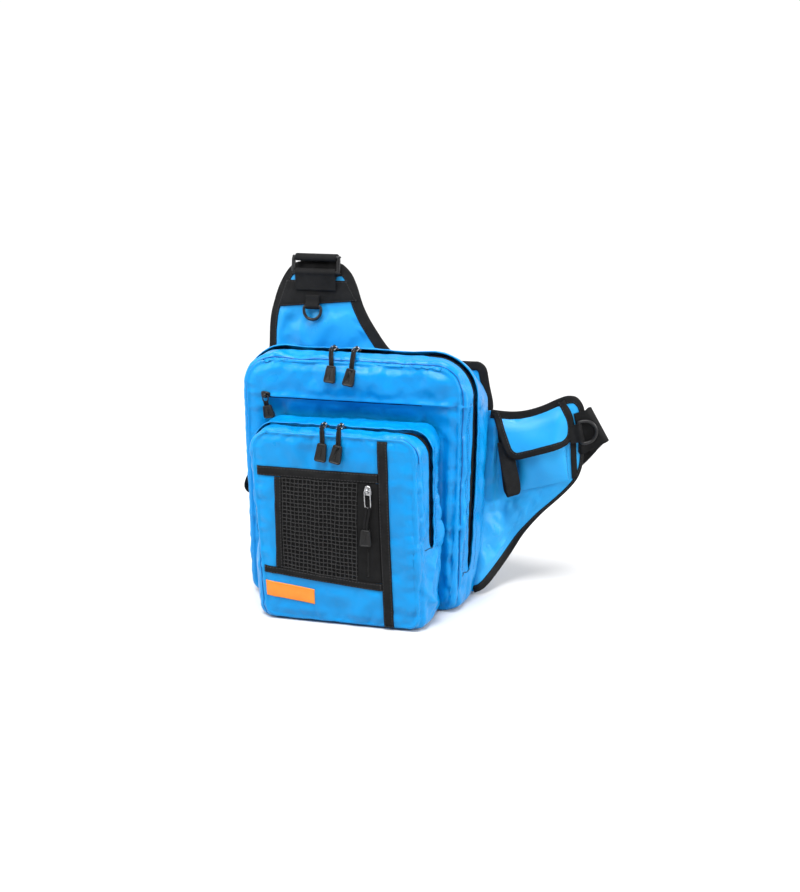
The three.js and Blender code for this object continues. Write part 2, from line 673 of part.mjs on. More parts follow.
const flapPath = [
  { u: 0, v: 1, inU: 0.1, inV: 1 },
  { u: 0, v: 0.7, inU: 0.1, inV: 0.7 },
  { u: 0, v: 0.35, inU: 0.1, inV: 0.4 },
  { u: 0.01, v: 0.08, inU: 0.12, inV: 0.22 },
  { u: 0.06, v: 0, inU: 0.16, inV: 0.17 },
  { u: 0.35, v: 0, inU: 0.36, inV: 0.15 },
  { u: 0.7, v: 0, inU: 0.7, inV: 0.15 },
  { u: 1, v: 0, inU: 1, inV: 0.15 },
];
const flapTape = (height) =>
  flapPath.map((r) => [flapPoint(r.u, r.v, height), flapPoint(r.inU, r.inV, height)]);
add("flap_binding", sheetSolid(flapTape(1.6 + 0.5 + 1), flapTape(1.6 + 0.5)), black);
const wingTape = [[228.5, 148.5], [236, 148.5], [221.5, 218], [228.5, 218]];
add("wing_tape", facePatch(hipFront, wingTape, 1, 5, 1), black);

// Hanging webbing loop under the flap
const toolLine = [
  ...[[0, 0], [-2.5, -12], [-6, -30], [-8.5, -48], [-10.5, -58]],
  ...[[-13.5, -61], [-16.5, -58], [-17, -45], [-14, -28]],
];
const toolHead = new THREE.Group();
toolHead.position.set(155, hipFront(155, 177) - 2.4, 177);
toolHead.rotation.y = -0.14;
group.add(toolHead);
add("tool_loop", bentRibbon(toolLine, 9, 2), black, toolHead);

// Webbing that wraps the tip of the wing: front layer, fold, back layer
const TIP = {
  frontTop: [230, 211],
  frontBase: [240, 163],
  foldTop: [244, 216],
  foldBase: [266, 178],
  backWay: [-0.665, -0.746],
  outWay: [0.866, 0.5],
  apart: 4.2,
};
const tipDepth = hipDepth(250, 195);
const tipRows = [];
const frontDepth = (x) => hipDepth(Math.min(x, 250), 195) - TIP.apart;
for (const t of [1, 0.5, 0]) {
  const ends = [[TIP.foldTop, TIP.frontTop], [TIP.foldBase, TIP.frontBase]].map(([fold, front]) => {
    const x = mix(fold[0], front[0], t);
    return V(x, frontDepth(x), mix(fold[1], front[1], t));
  });
  tipRows.push({ ends, way: V(0, -1, 0) });
}
const outWay = V(TIP.outWay[0], 0, TIP.outWay[1]);
for (const degrees of [-60, -30, 0, 30, 60]) {
  const a = THREE.MathUtils.degToRad(degrees);
  const way = outWay.clone().multiplyScalar(Math.cos(a)).add(V(0, Math.sin(a), 0));
  const ends = [TIP.foldTop, TIP.foldBase].map(([x, z]) =>
    V(x, tipDepth, z).addScaledVector(way, TIP.apart),
  );
  tipRows.push({ ends, way });
}
for (const far of [0, 12, 24]) {
  const ends = [TIP.foldTop, TIP.foldBase].map(([x, z]) =>
    V(x + TIP.backWay[0] * far, tipDepth + TIP.apart, z + TIP.backWay[1] * far),
  );
  tipRows.push({ ends, way: V(0, 1, 0) });
}
const tipGrid = (sign) =>
  tipRows.map(({ ends, way }) => ends.map((p) => p.clone().addScaledVector(way, sign * 0.5 * WEB_THICK)));
add("tip_webbing", sheetSolid(tipGrid(1), tipGrid(-1)), black);

// Hip D-ring on its tab, lying on the tip webbing
const hipHead = new THREE.Group();
const hipBar = V(238.5, 0, 190);
hipHead.position.set(hipBar.x, mix(tipDepth, hipDepth(236, 190), 0.8) - TIP.apart - 5, hipBar.z);
const barWay = V(-0.21, 0, 0.978);
const hipOut = V(0.2, -0.98, 0);
const armWay = hipOut.clone().cross(barWay).normalize();
const faceWay = barWay.clone().cross(armWay).normalize();
const hipTurn = new THREE.Matrix4().makeBasis(barWay, faceWay.negate(), armWay.clone());
hipHead.quaternion.setFromRotationMatrix(hipTurn);
group.add(hipHead);
add("d_ring_hip", closedTube(dLoop(HIP_D), V(0, 1, 0), D_RADIUS, 9), plastic, hipHead);
add("d_tab_hip", bentRibbon(dTabLine, HIP_D.tab / 2, 1.2), black, hipHead);

// Strap hanging behind the bag between the ring and the tip
const strapTop = V(-74.5, shoulderDepth(0, 362) + 10.6, 361);
const strapTip = V(243.5, tipDepth + TIP.apart + 2.2, 187.5);
function strapLine(steps) {
  const h = strapTip.x - strapTop.x;
  const v = strapTop.z - strapTip.z;
  const want = Math.sqrt(STRAP_LENGTH ** 2 - v ** 2) / h;
  let low = 0.01;
  let high = 6;
  for (let n = 0; n < 50; n += 1) {
    const t = (low + high) / 2;
    if (Math.sinh(t) / t < want) low = t;
    else high = t;
  }
  const a = h / (2 * low);
  const deepest = strapTop.x + h / 2 + a * Math.atanh(v / STRAP_LENGTH);
  const hang = (x) => a * Math.cosh((x - deepest) / a);
  const arc = (x) => a * Math.sinh((x - deepest) / a);
  const from = arc(strapTop.x);
  return Array.from({ length: steps + 1 }, (_, n) => {
    const s = n / steps;
    const x = deepest + a * Math.asinh((from + s * (arc(strapTip.x) - from)) / a);
    const turn = (Math.PI / 2) * Math.sin(Math.PI * s) ** 2;
    const y = mix(strapTop.y, strapTip.y, s) + 27 * Math.sin(turn);
    return { p: V(x, y, strapTop.z + hang(x) - hang(strapTop.x)), turn };
  });
}
const line = strapLine(38);
const strapGrid = (sign) =>
  line.map(({ p, turn }, n) => {
    const before = line[Math.max(0, n - 1)].p;
    const after = line[Math.min(line.length - 1, n + 1)].p;
    const along = after.clone().sub(before).normalize();
    const across = along.clone().cross(V(0, 1, 0)).normalize();
    const normal = across.clone().cross(along).normalize();
    const wide = across.clone().multiplyScalar(Math.cos(turn)).addScaledVector(normal, Math.sin(turn));
    const thin = wide.clone().cross(along).normalize();
    return [-1, 1].map((side) =>
      p.clone().addScaledVector(wide, (side * WEB_WIDE) / 2).addScaledVector(thin, sign * 0.5 * WEB_THICK),
    );
  });
add("strap", sheetSolid(strapGrid(1), strapGrid(-1)), black);

// Webbing loop at the left side
const sideLine = [[-8, 60], [-9.5, 42], [-14, 20], [-16.5, 6], [-14.5, 0], [-10, -2.5], [-5.5, -2]];
const sideHead = new THREE.Group();
sideHead.position.set(-126.6, 12, 108);
sideHead.rotation.z = -Math.PI / 2;
group.add(sideHead);
const sideRibbon = bentRibbon(sideLine, 10, 1.6);
add("side_loop", sideRibbon, black, sideHead);

// Zip pulls: outlines of the slider's plate, of its eye and of the hole in the eye
const PLATE = [[-5.5, -2.6], [-3, -4], [3, -4], [5.5, -3], [5.5, 3], [3, 4], [-3, 4], [-5.5, 2.6]];
const EYE = [[-3.6, -0.2], [3.6, -0.2], [3.4, 1.9], [2.2, 3.4], [-2.2, 3.4], [-3.4, 1.9]];
const EYE_HOLE = [[-1.9, 0.2], [1.9, 0.2], [1.9, 1.6], [1.2, 2.4], [-1.2, 2.4], [-1.9, 1.6]];
const mirrored = (half) => [...half, ...half.filter(([x]) => x > 0).reverse().map(([x, y]) => [-x, y])];
function basisOf(x, y, z, at) {
  return new THREE.Matrix4().makeBasis(x, y, z).setPosition(at);
}
function shapeOf(points) {
  return new THREE.Shape(points.map(([x, y]) => new THREE.Vector2(x, y)));
}
function extruded(shape, depth) {
  return new THREE.ExtrudeGeometry(shape, { depth, bevelEnabled: false, curveSegments: 5 });
}
for (const pull of PULLS) {
  const at = V(...pull.at);
  const out = V(...pull.out).normalize();
  const along = V(...pull.along).normalize();
  const wireEnd = V(...pull.wireEnd);
  const plate = extruded(shapeOf(PLATE), 2.4);
  plate.applyMatrix4(basisOf(along, out.clone().cross(along), out, at.clone().addScaledVector(out, GAP)));
  const eye = at.clone().addScaledVector(out, GAP + 2.4 + 1.3);
  const wireWay = wireEnd.clone().sub(eye).normalize();
  const hole = out.clone().cross(wireWay).normalize();
  const flat = hole.clone().cross(out).normalize();
  const bridgeShape = shapeOf(EYE);
  bridgeShape.holes.push(new THREE.Path(EYE_HOLE.map(([x, y]) => new THREE.Vector2(x, y))));
  const bridge = extruded(bridgeShape, 2.4);
  bridge.translate(0, 0, -1.2);
  const plateTop = at.clone().addScaledVector(out, GAP + 2.4);
  bridge.applyMatrix4(basisOf(flat, out, flat.clone().cross(out), plateTop));
  add(`${pull.name}_slider`, joined(plate, bridge), steel);
  const reach = wireEnd.distanceTo(eye);
  const wireNormal = hole.clone().cross(wireWay).normalize();
  const wireHalf = [[0, 0], [2.6, 0], [3.1, 1.2], [3.1, reach - 2.6], [1.9, reach - 0.6], [0, reach]];
  const outline = mirrored(wireHalf);
  const wire = outline.map(([s, d]) => eye.clone().addScaledVector(hole, s).addScaledVector(wireWay, d));
  add(`${pull.name}_wire`, closedTube(wire, wireNormal, WIRE_RADIUS, 5), steel);
  const cordPoints = pull.cord.map((p) => V(...p));
  const cordStart = wireEnd.clone().addScaledVector(wireWay, WIRE_RADIUS + 2 * GAP);
  const route = new THREE.CatmullRomCurve3([cordStart, ...cordPoints]);
  const cordShape = new THREE.Shape().absellipse(0, 0, 1.2, 2.1, 0, 2 * Math.PI);
  const cordWay = { steps: 6, curveSegments: 4, extrudePath: route, bevelEnabled: false };
  const cord = new THREE.ExtrudeGeometry(cordShape, cordWay);
  add(`${pull.name}_cord`, cord, black);
  const gripEnd = V(...pull.gripEnd);
  const gripTop = cordPoints[cordPoints.length - 1];
  const down = gripEnd.clone().sub(gripTop).normalize();
  const side = down.clone().cross(V(...pull.face)).normalize();
  const tall = gripEnd.distanceTo(gripTop) - 0.6;
  const gripHalf = [[3.6, 0], [4.9, 1.4], [6.4, tall - 2.5], [5.2, tall]];
  const grip = extruded(shapeOf(mirrored(gripHalf)), 4.6);
  const gripStart = gripTop.clone().addScaledVector(down, 0.6);
  grip.translate(0, 0, -2.3);
  grip.applyMatrix4(basisOf(side, down, side.clone().cross(down), gripStart));
  add(`${pull.name}_grip`, grip, rubber);
}

export default group;
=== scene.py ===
"""Looks of a one-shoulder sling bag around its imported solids.

Shapes are worked out in millimetres, +Z up and the front towards -Y, and become metres when a mesh is made.
"""

import math

import bmesh
import bpy
import numpy as np
from mathutils import Matrix, Vector, noise
from mathutils.bvhtree import BVHTree
from mathutils.kdtree import KDTree


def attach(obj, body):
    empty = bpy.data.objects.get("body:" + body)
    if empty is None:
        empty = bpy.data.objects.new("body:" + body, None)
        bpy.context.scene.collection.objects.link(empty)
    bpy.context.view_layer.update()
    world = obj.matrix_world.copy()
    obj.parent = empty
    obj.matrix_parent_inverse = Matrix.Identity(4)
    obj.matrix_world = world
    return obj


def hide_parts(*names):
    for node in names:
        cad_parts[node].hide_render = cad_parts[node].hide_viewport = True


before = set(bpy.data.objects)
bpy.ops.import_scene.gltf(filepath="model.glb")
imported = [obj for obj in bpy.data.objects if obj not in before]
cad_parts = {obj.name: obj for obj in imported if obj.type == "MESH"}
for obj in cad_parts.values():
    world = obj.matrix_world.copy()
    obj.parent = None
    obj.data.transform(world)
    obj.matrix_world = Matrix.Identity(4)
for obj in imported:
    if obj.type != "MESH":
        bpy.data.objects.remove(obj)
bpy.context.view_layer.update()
MM = 0.001
FLAT = "flat_mm"

# Camera of the photograph
PHOTO_TALL = 892
FOCAL_PX = 1400
SENSOR = 36.0
AIM = (55.2, -50.0, 188.4)
AZIMUTH, ELEVATION, DISTANCE = 15.1, 14.4, 1536.1

# Cloth, webbing and tape
CLOTH = 1.2
WEB_HALF, WEB_THICK, STRAP_LENGTH = 25.0, 1.6, 470
PAD_EDGE = 1.4
TAPE = 1.0
LIFT = 0.3
SEAT = 0.05
ROUND = 0.8

# Main compartment, front seam to back seam:
# depth, half width, top, base, top radius, base radius, loss of half width at the base, shift at the base
MAIN = np.array([
    (-50, 121, 277, 2, 28, 18, 3, 0),
    (-43, 127.5, 282, 0, 36, 15, 4, 0),
    (-27, 132.5, 286, 0, 45, 14, 6, 0),
    (-17, 133.5, 286.5, 0, 47, 14, 7, 0),
    (15, 135, 278, 0, 52, 14, 9, 0),
    (43, 134, 264, 0, 46, 15, 9, 0),
    (50, 131, 258, 2, 42, 18, 9, 0),
])
BULGE = {"base": 232, "top": 277, "depth": 9}

# Its zip: depth, height of the low ends, half gap over the top and on the left; right: height, half gap
MAIN_ZIP = {"y": -22, "end": 42, "top": 2.5, "left": 2.4}
MAIN_ZIP_RIGHT = np.array([(42, 0.3), (60, 3.4), (100, 5.4), (150, 6.2), (200, 5.0), (240, 4.2)])

# Front pocket and its zip, the same columns
POCKET = np.array([
    (-118, 90, 212, 4, 18, 12, 4, 8),
    (-112, 95, 213, 0, 22, 12, 2, 6),
    (-92, 99, 214, 0, 25, 12, 0, 3),
    (-84, 100, 214.5, 0, 25, 12, 0, 2),
    (-50.3, 101, 215.5, 0, 24, 12, 0, 0),
])
CROWN = {"middle": 106, "reach": 108, "depth": 5}
POCKET_ZIP = {"y": -88, "end": 88, "top": 1.3, "left": 1.3}
POCKET_ZIP_RIGHT = np.array([
    (88, 0.4), (92, 3.8), (104, 4.4), (130, 3.0), (165, 2.6), (190, 3.0), (204, 4.2),
])

# Hem of the flat pocket: height on the smooth front, height and depth once folded; then its ends
HEM = np.array([
    (239.5, 238.0, -56.2),
    (238.6, 236.7, -56.0),
    (237.8, 236.2, -54.6),
    (237.0, 236.7, -53.4),
    (236.2, 240.4, -53.0),
    (235.4, 240.0, -51.4),
    (234.0, 235.5, -50.6),
])
HEM_ENDS = (-101, -92, 112, 119)

# Back panel: height, left edge, right edge
BACK = np.array([
    (5, -118, 112), (14, -127, 121), (40, -131, 127), (120, -133, 130), (205, -133, 134),
    (213, -133, 135.3), (219, -133, 137), (240, -133, 132.5), (256, -133, 129.5), (262, -133, 126),
    (265.5, -132.5, 120),
])
BACK_DEPTH = 53.8

# Shoulder yoke: height, left edge, right edge
YOKE = np.array([
    (265.8, -132.5, 30), (272, -132, 18), (281, -131.5, 9), (295, -131, -1), (311, -129.5, -11.5),
    (327, -125.5, -19.5), (343, -120.5, -25), (358, -113, -32), (367, -106, -40), (372, -98, -48),
])
YOKE_BASE, YOKE_LEAN = 265, 0.0008

# Hip wing from the bag to the tip: base x and z, top x and z
WING = np.array([
    (127.5, 3, 136.2, 211), (138, 8, 146, 210), (148, 20, 158, 209.5), (161, 40, 170, 210.5),
    (176, 66, 184, 214), (195, 90, 198, 219.5), (213, 108, 213, 227), (228, 124, 226, 230.5),
    (237, 138, 235.5, 226), (241, 154, 241, 213),
])
WING_DEPTH = {
    "near": 52, "tuck": 38, "tuck_top": 190, "seam": 131, "blend": 34,
    "far": 54, "sweep": 0.0012, "sweep_from": 150,
}

# Lines of sight on the front start here
FAR_AHEAD = -200.0


# Small tools
def mix(a, b, t):
    return a + (b - a) * t


def clamp(t):
    return np.clip(t, 0.0, 1.0)


def smooth(t):
    return clamp(t) ** 2 * (3 - 2 * clamp(t))


def unit(v):
    return v / np.maximum(np.linalg.norm(v, axis=-1, keepdims=True), 1e-9)


def along_of(line):
    return unit(np.gradient(np.asarray(line, float), axis=0))


def length_of(line):
    steps = np.linalg.norm(np.diff(line, axis=0), axis=1)
    return np.concatenate([[0.0], np.cumsum(steps)])


def even(line, step):
    """Points at equal steps along a line"""
    line = np.asarray(line, float)
    far = length_of(line)
    count = max(2, int(round(far[-1] / step)) + 1)
    at = np.linspace(0, far[-1], count)
    return np.column_stack([np.interp(at, far, line[:, k]) for k in range(line.shape[1])])


def curve(points, step, closed=False):
    """A smooth line through points, at equal steps"""
    p = np.asarray(points, float)
    if closed:
        p = np.vstack([p[-1:], p, p[:2]])
    else:
        p = np.vstack([2 * p[:1] - p[1:2], p, 2 * p[-1:] - p[-2:-1]])
    t = np.linspace(0, 1, 16, endpoint=False)[:, None]
    spans = []
    for a, b, c, d in zip(p, p[1:], p[2:], p[3:]):
        rise = (c - a) * t
        spans.append(b + 0.5 * (rise + (2 * a - 5 * b + 4 * c - d) * t**2 + (3 * b - a - 3 * c + d) * t**3))
    return even(np.vstack([*spans, p[-2:-1]]), step)


def edge_steps(size, step):
    """Places across a strip, close together where its edges are rounded"""
    inner = np.linspace(ROUND, size - ROUND, max(2, int(round((size - 2 * ROUND) / step)) + 1))
    return np.concatenate([[0, 0.12, 0.4], inner, [size - 0.4, size - 0.12, size]])


def rounded(distance, thick):
    return thick * np.sqrt(clamp(1 - (1 - clamp(distance / ROUND)) ** 2))


def rim_distance(us, vs):
    """Distance of each place of a sheet from its nearest edge"""
    return np.minimum(np.minimum(us, us[-1] - us)[None, :], np.minimum(vs, vs[-1] - vs)[:, None])


def xyz(x, y, z):
    return np.stack(np.broadcast_arrays(x, y, z), -1)


def same(way, path):
    """One direction, given for each point of a path"""
    return np.tile(np.array(way, float), (len(path), 1))


def looped(line):
    return np.vstack([line, line[:1]])


def mirrored(half):
    """The same points on the other side, back to front"""
    return [(-x, z) for x, z in half[::-1]]


# Shapes
class Shape:
    """Points, faces and a flat map in millimetres, one map row for each face corner"""

    def __init__(self, points=(), faces=(), flat=()):
        self.points = [tuple(p) for p in points]
        self.faces = [tuple(f) for f in faces]
        self.flat = [tuple(f) for f in flat]

    def __add__(self, other):
        return total([self, other])


def total(shapes):
    made = Shape()
    for shape in shapes:
        start = len(made.points)
        made.points += shape.points
        made.faces += [tuple(i + start for i in f) for f in shape.faces]
        made.flat += shape.flat
    return made


def grid_shape(grid, flat, wrap_rows=False, wrap_cols=False):
    rows, cols = grid.shape[:2]
    ids = np.arange(rows * cols).reshape(rows, cols)
    if wrap_rows:
        ids = np.vstack([ids, ids[:1]])
    if wrap_cols:
        ids = np.hstack([ids, ids[:, :1]])
    a, b, c, d = ids[:-1, :-1], ids[:-1, 1:], ids[1:, 1:], ids[1:, :-1]
    faces = np.stack([a, b, c, d], -1).reshape(-1, 4)
    us, vs = flat
    i, k = np.meshgrid(np.arange(ids.shape[0] - 1), np.arange(ids.shape[1] - 1), indexing="ij")
    corners = [(us[k + e], vs[i + f]) for e, f in ((0, 0), (1, 0), (1, 1), (0, 1))]
    flat_rows = np.stack([np.stack(c, -1) for c in corners], -2).reshape(-1, 2)
    return Shape(grid.reshape(-1, 3), faces.tolist(), flat_rows)


def tube(grid, closed=False):
    """Rings of points joined into a closed skin"""
    rows, sides = grid.shape[:2]
    middle = grid.mean(axis=1)
    around = length_of(looped(grid[0]))
    far = length_of(looped(middle) if closed else middle)
    shape = grid_shape(grid, (around, far), wrap_rows=closed, wrap_cols=True)
    if not closed:
        last = (rows - 1) * sides
        shape.faces += [tuple(range(sides))[::-1], tuple(range(last, last + sides))]
        shape.flat += [(0.0, 0.0)] * (2 * sides)
    return shape


def sweep(path, across, out, profile, closed=False):
    """A closed profile carried along a path; its columns are the distance across and the distance out"""
    profile = np.asarray(profile, float)
    grid = path[:, None] + across[:, None] * profile[:, :1] + out[:, None] * profile[:, 1:]
    return tube(grid, closed)


def strip(front, back, flat):
    """A closed sheet between two facing grids"""
    rows, cols = front.shape[:2]
    loop = [(0, k) for k in range(cols)] + [(i, cols - 1) for i in range(1, rows)]
    loop += [(rows - 1, k) for k in range(cols - 2, -1, -1)] + [(i, 0) for i in range(rows - 2, 0, -1)]
    face = grid_shape(front, flat)
    rear = grid_shape(back, flat)
    rear.faces = [f[::-1] for f in rear.faces]
    made = face + rear
    count = rows * cols
    us, vs = flat
    for (i, k), (j, m) in zip(loop, loop[1:] + loop[:1]):
        a, b = i * cols + k, j * cols + m
        made.faces.append((b, a, a + count, b + count))
        made.flat += [(us[m], vs[j]), (us[k], vs[i]), (us[k], vs[i]), (us[m], vs[j])]
    return made


def circle(sides, a, b=None):
    turn = np.arange(sides) * 2 * math.pi / sides
    return np.column_stack([a * np.cos(turn), (b or a) * np.sin(turn)])


def thick_sheet(grid, thick):
    """A sheet of even thickness with rounded edges, around a grid of places"""
    normal = unit(np.cross(np.gradient(grid, axis=1), np.gradient(grid, axis=0)))
    us = length_of(grid[len(grid) // 2])
    vs = length_of(grid[:, grid.shape[1] // 2])
    rise = np.maximum(rounded(rim_distance(us, vs), thick / 2), SEAT)[..., None]
    return strip(grid + normal * rise, grid - normal * rise, (us, vs))


def flat_profile(half, thick, step=8.0):
    """Section of a webbing with rounded edges"""
    places = edge_steps(2 * half, step)
    rise = rounded(np.minimum(places, 2 * half - places), thick / 2)
    top = np.column_stack([places - half, rise])
    low = np.column_stack([places - half, -rise])[::-1]
    return np.vstack([top, low[1:-1]])


def turn(axis, angle):
    return np.array(Matrix.Rotation(angle, 3, axis))


def placed(path, side, out, profile, origin, turned, closed=False):
    """A sweep in local directions, turned and moved to its origin"""
    return sweep(np.asarray(origin) + path @ turned.T, side @ turned.T, out @ turned.T, profile, closed)


def ribbon(line, half, thick, origin, turned):
    """Webbing bent along a line in the local Y and Z plane, its width along local X"""
    line = curve(line, 1.6)
    path = np.column_stack([np.zeros(len(line)), line])
    side = same((1, 0, 0), path)
    return placed(path, side, np.cross(along_of(path), side), flat_profile(half, thick), origin, turned)


def ring_tube(points, section, origin, turned, step=1.0):
    """A closed ring through points given as local x and z"""
    line = curve(points, step, closed=True)[:-1]
    path = xyz(line[:, 0], 0, line[:, 1])
    along = unit(np.roll(path, -1, axis=0) - np.roll(path, 1, axis=0))
    out = same((0, 1, 0), path)
    return placed(path, np.cross(along, out), out, section, origin, turned, closed=True)


def slab(edge, rings, origin, side, up, out):
    """A block with a rounded outline; each ring has the distance in from the outline and the height"""
    edge = np.asarray(edge, float)
    along = unit(np.roll(edge, -1, axis=0) - np.roll(edge, 1, axis=0))
    inward = np.column_stack([-along[:, 1], along[:, 0]])
    if np.sum(inward * (edge.mean(axis=0) - edge)) < 0:
        inward = -inward
    grid = [origin + np.outer(p[:, 0], side) + np.outer(p[:, 1], up) + high * out
            for p, high in ((edge + inward * inset, high) for inset, high in rings)]
    return tube(np.array(grid))


def stitches(line, out, pitch=3.4, long=2.5, wide=0.32):
    """A row of stitches along a line; each one dips into the cloth at both ends"""
    line = np.asarray(line, float)
    out = np.broadcast_to(np.asarray(out, float), line.shape)
    both = even(np.hstack([line, out]), pitch)
    at, up = both[:, :3], unit(both[:, 3:])
    along = along_of(at)
    side = unit(np.cross(along, up))
    ring = circle(5, wide, 0.8 * wide)
    stations = ((-0.5, -0.35, 0.4), (-0.3, 0.12, 1.0), (0.3, 0.12, 1.0), (0.5, -0.35, 0.4))
    shapes = []
    for p, a, s, u in zip(at, along, side, up):
        rings = [p + a * long * f + u * h + np.outer(ring[:, 0] * k, s) + np.outer(ring[:, 1] * k, u)
                 for f, h, k in stations]
        shapes.append(tube(np.array(rings)))
    return total(shapes)


# Finishes
class Nodes:
    """A node tree and short ways to add to it"""

    def __init__(self, tree):
        self.tree = tree

    def node(self, kind, inputs, **settings):
        made = self.tree.nodes.new("ShaderNode" + kind)
        for key, value in settings.items():
            setattr(made, key, value)
        for key, value in inputs.items():
            if isinstance(value, bpy.types.NodeSocket):
                self.tree.links.new(value, made.inputs[key])
            else:
                made.inputs[key].default_value = value
        return made

    def math(self, operation, a, b=0.0):
        return self.node("Math", {0: a, 1: b}, operation=operation).outputs[0]

    def parts(self, vector):
        return self.node("SeparateXYZ", {0: vector}).outputs

    def span(self, value, source, goal):
        """A value carried from one range to another"""
        made = self.node("MapRange", {"Value": value})
        for name, pair in (("From", source), ("To", goal)):
            made.inputs[f"{name} Min"].default_value, made.inputs[f"{name} Max"].default_value = pair
        return made.outputs["Result"]


class Finish(Nodes):
    """A procedural material: a Principled shader and the nodes that feed it"""

    def __init__(self, name, roughness, sockets):
        self.material = bpy.data.materials.new(name)
        self.material.use_nodes = True
        super().__init__(self.material.node_tree)
        self.shader = self.tree.nodes["Principled BSDF"]
        self.shader.inputs["Roughness"].default_value = roughness
        for socket, value in sockets.items():
            self.shader.inputs[socket].default_value = value

    def flat(self):
        """The two directions of the flat map, in millimetres"""
        place = self.parts(self.node("UVMap", {}, uv_map=FLAT).outputs["UV"])
        return place[0], place[1]

    def wave(self, place, pitch):
        return self.math("SINE", self.math("MULTIPLY", place, 2 * math.pi / pitch))

    def noise(self, size_mm, detail=3.0, distortion=0.0):
        place = self.node("TexCoord", {}).outputs["Object"]
        inputs = {"Vector": place, "Scale": 1000 / size_mm, "Detail": detail, "Distortion": distortion}
        return self.node("TexNoise", inputs).outputs["Fac"]

    def ramp(self, factor, low, high, dark, light):
        made = self.node("ValToRGB", {"Fac": factor})
        ends = made.color_ramp.elements
        ends[0].position, ends[1].position = low, high
        ends[0].color, ends[1].color = (*dark, 1), (*light, 1)
        return made.outputs["Color"]

    def spread(self, factor, low, high):
        """A noise spread between two values"""
        return self.span(factor, (0.3, 0.7), (low, high))

    def to(self, socket, value):
        self.tree.links.new(value, self.shader.inputs[socket])

    def bump(self, layers):
        """Relief from layers of height, each with its depth in millimetres"""
        normal = None
        for height, depth in layers:
            inputs = {"Height": height, "Strength": 1.0, "Distance": depth * MM}
            if normal is not None:
                inputs["Normal"] = normal
            normal = self.node("Bump", inputs).outputs["Normal"]
        self.to("Normal", normal)


def blue_cloth(name, dark, light, sheen):
    f = Finish(name, 0.34, {"Specular IOR Level": 0.26, "Sheen Weight": sheen, "Sheen Roughness": 0.4})
    u, v = f.flat()
    weave = f.math("MULTIPLY", f.wave(u, 0.9), f.wave(v, 0.9))
    cloud = f.noise(70, 3.0)
    crinkle = f.noise(16, 3.0, 0.8)
    f.to("Base Color", f.ramp(cloud, 0.3, 0.7, dark, light))
    f.to("Roughness", f.spread(f.noise(30, 3.0), 0.27, 0.35))
    crease = f.math("ABSOLUTE", f.math("SUBTRACT", f.noise(52, 1.2, 0.5), 0.5))
    f.bump([(crease, 2.6), (crinkle, 0.12), (weave, 0.03)])
    return f.material


def black_cloth(name, depth, rib, colour=0.006):
    f = Finish(name, 0.7, {"Specular IOR Level": 0.16})
    u, v = f.flat()
    cloud = f.noise(18, 4.0)
    dark, light = [(c, c, c * 1.06) for c in (0.7 * colour, 1.5 * colour)]
    f.to("Base Color", f.ramp(cloud, 0.3, 0.75, dark, light))
    f.to("Roughness", f.spread(f.noise(6, 3.0), 0.62, 0.8))
    f.bump([(cloud, 0.25), (rib(f, u, v), depth)])
    return f.material


def chevron(f, u, v):
    zigzag = f.math("PINGPONG", u, 4.0)
    return f.wave(f.math("ADD", v, f.math("MULTIPLY", zigzag, 0.8)), 1.6)


def grosgrain(f, u, v):
    return f.wave(v, 1.1)


def plain_weave(f, u, v):
    return f.math("MULTIPLY", f.wave(u, 1.0), f.wave(v, 1.0))


def braid(f, u, v):
    left = f.wave(f.math("ADD", v, u), 1.4)
    right = f.wave(f.math("SUBTRACT", v, u), 1.4)
    return f.math("MAXIMUM", left, right)


def moulded(name, colour, roughness, grain):
    f = Finish(name, roughness, {"Specular IOR Level": 0.3})
    cloud = f.noise(9, 4.0)
    dark, light = [(c, c, 1.04 * c) for c in (0.8 * colour, 1.25 * colour)]
    f.to("Base Color", f.ramp(cloud, 0.3, 0.7, dark, light))
    f.to("Roughness", f.spread(cloud, roughness - 0.07, roughness + 0.08))
    f.bump([(f.noise(0.6, 2.0), grain)])
    return f.material


def nickel():
    f = Finish("slider_metal", 0.22, {"Metallic": 1.0})
    cloud = f.noise(3, 4.0)
    f.to("Base Color", f.ramp(cloud, 0.35, 0.75, (0.3, 0.3, 0.31), (0.55, 0.55, 0.55)))
    f.to("Roughness", f.spread(f.noise(1.2, 5.0), 0.16, 0.36))
    f.bump([(f.noise(0.8, 3.0), 0.02)])
    return f.material


def orange_label():
    f = Finish("orange_label", 0.55, {"Specular IOR Level": 0.4, "Sheen Weight": 0.1})
    u, v = f.flat()
    cloud = f.noise(12, 4.0)
    f.to("Base Color", f.ramp(cloud, 0.3, 0.7, (0.72, 0.2, 0.012), (0.8, 0.25, 0.02)))
    f.to("Roughness", f.spread(cloud, 0.5, 0.62))
    f.bump([(f.math("MULTIPLY", f.wave(u, 0.8), f.wave(v, 0.8)), 0.05)])
    return f.material


# Finish of threads; the painted shade lines of seams and of the slits are made with it too
def thread(name, dark, light):
    f = Finish(name, 0.6, {"Specular IOR Level": 0.4})
    f.to("Base Color", f.ramp(f.noise(1.0, 2.0), 0.3, 0.7, dark, light))
    f.bump([(f.noise(0.4, 2.0), 0.05)])
    return f.material


def pale_floor():
    f = Finish("pale_floor", 0.6, {"Specular IOR Level": 0.2})
    cloud = f.noise(900, 2.0)
    f.to("Base Color", f.ramp(cloud, 0.3, 0.7, (0.605, 0.605, 0.61), (0.62, 0.62, 0.62)))
    f.to("Roughness", f.spread(cloud, 0.55, 0.65))
    return f.material


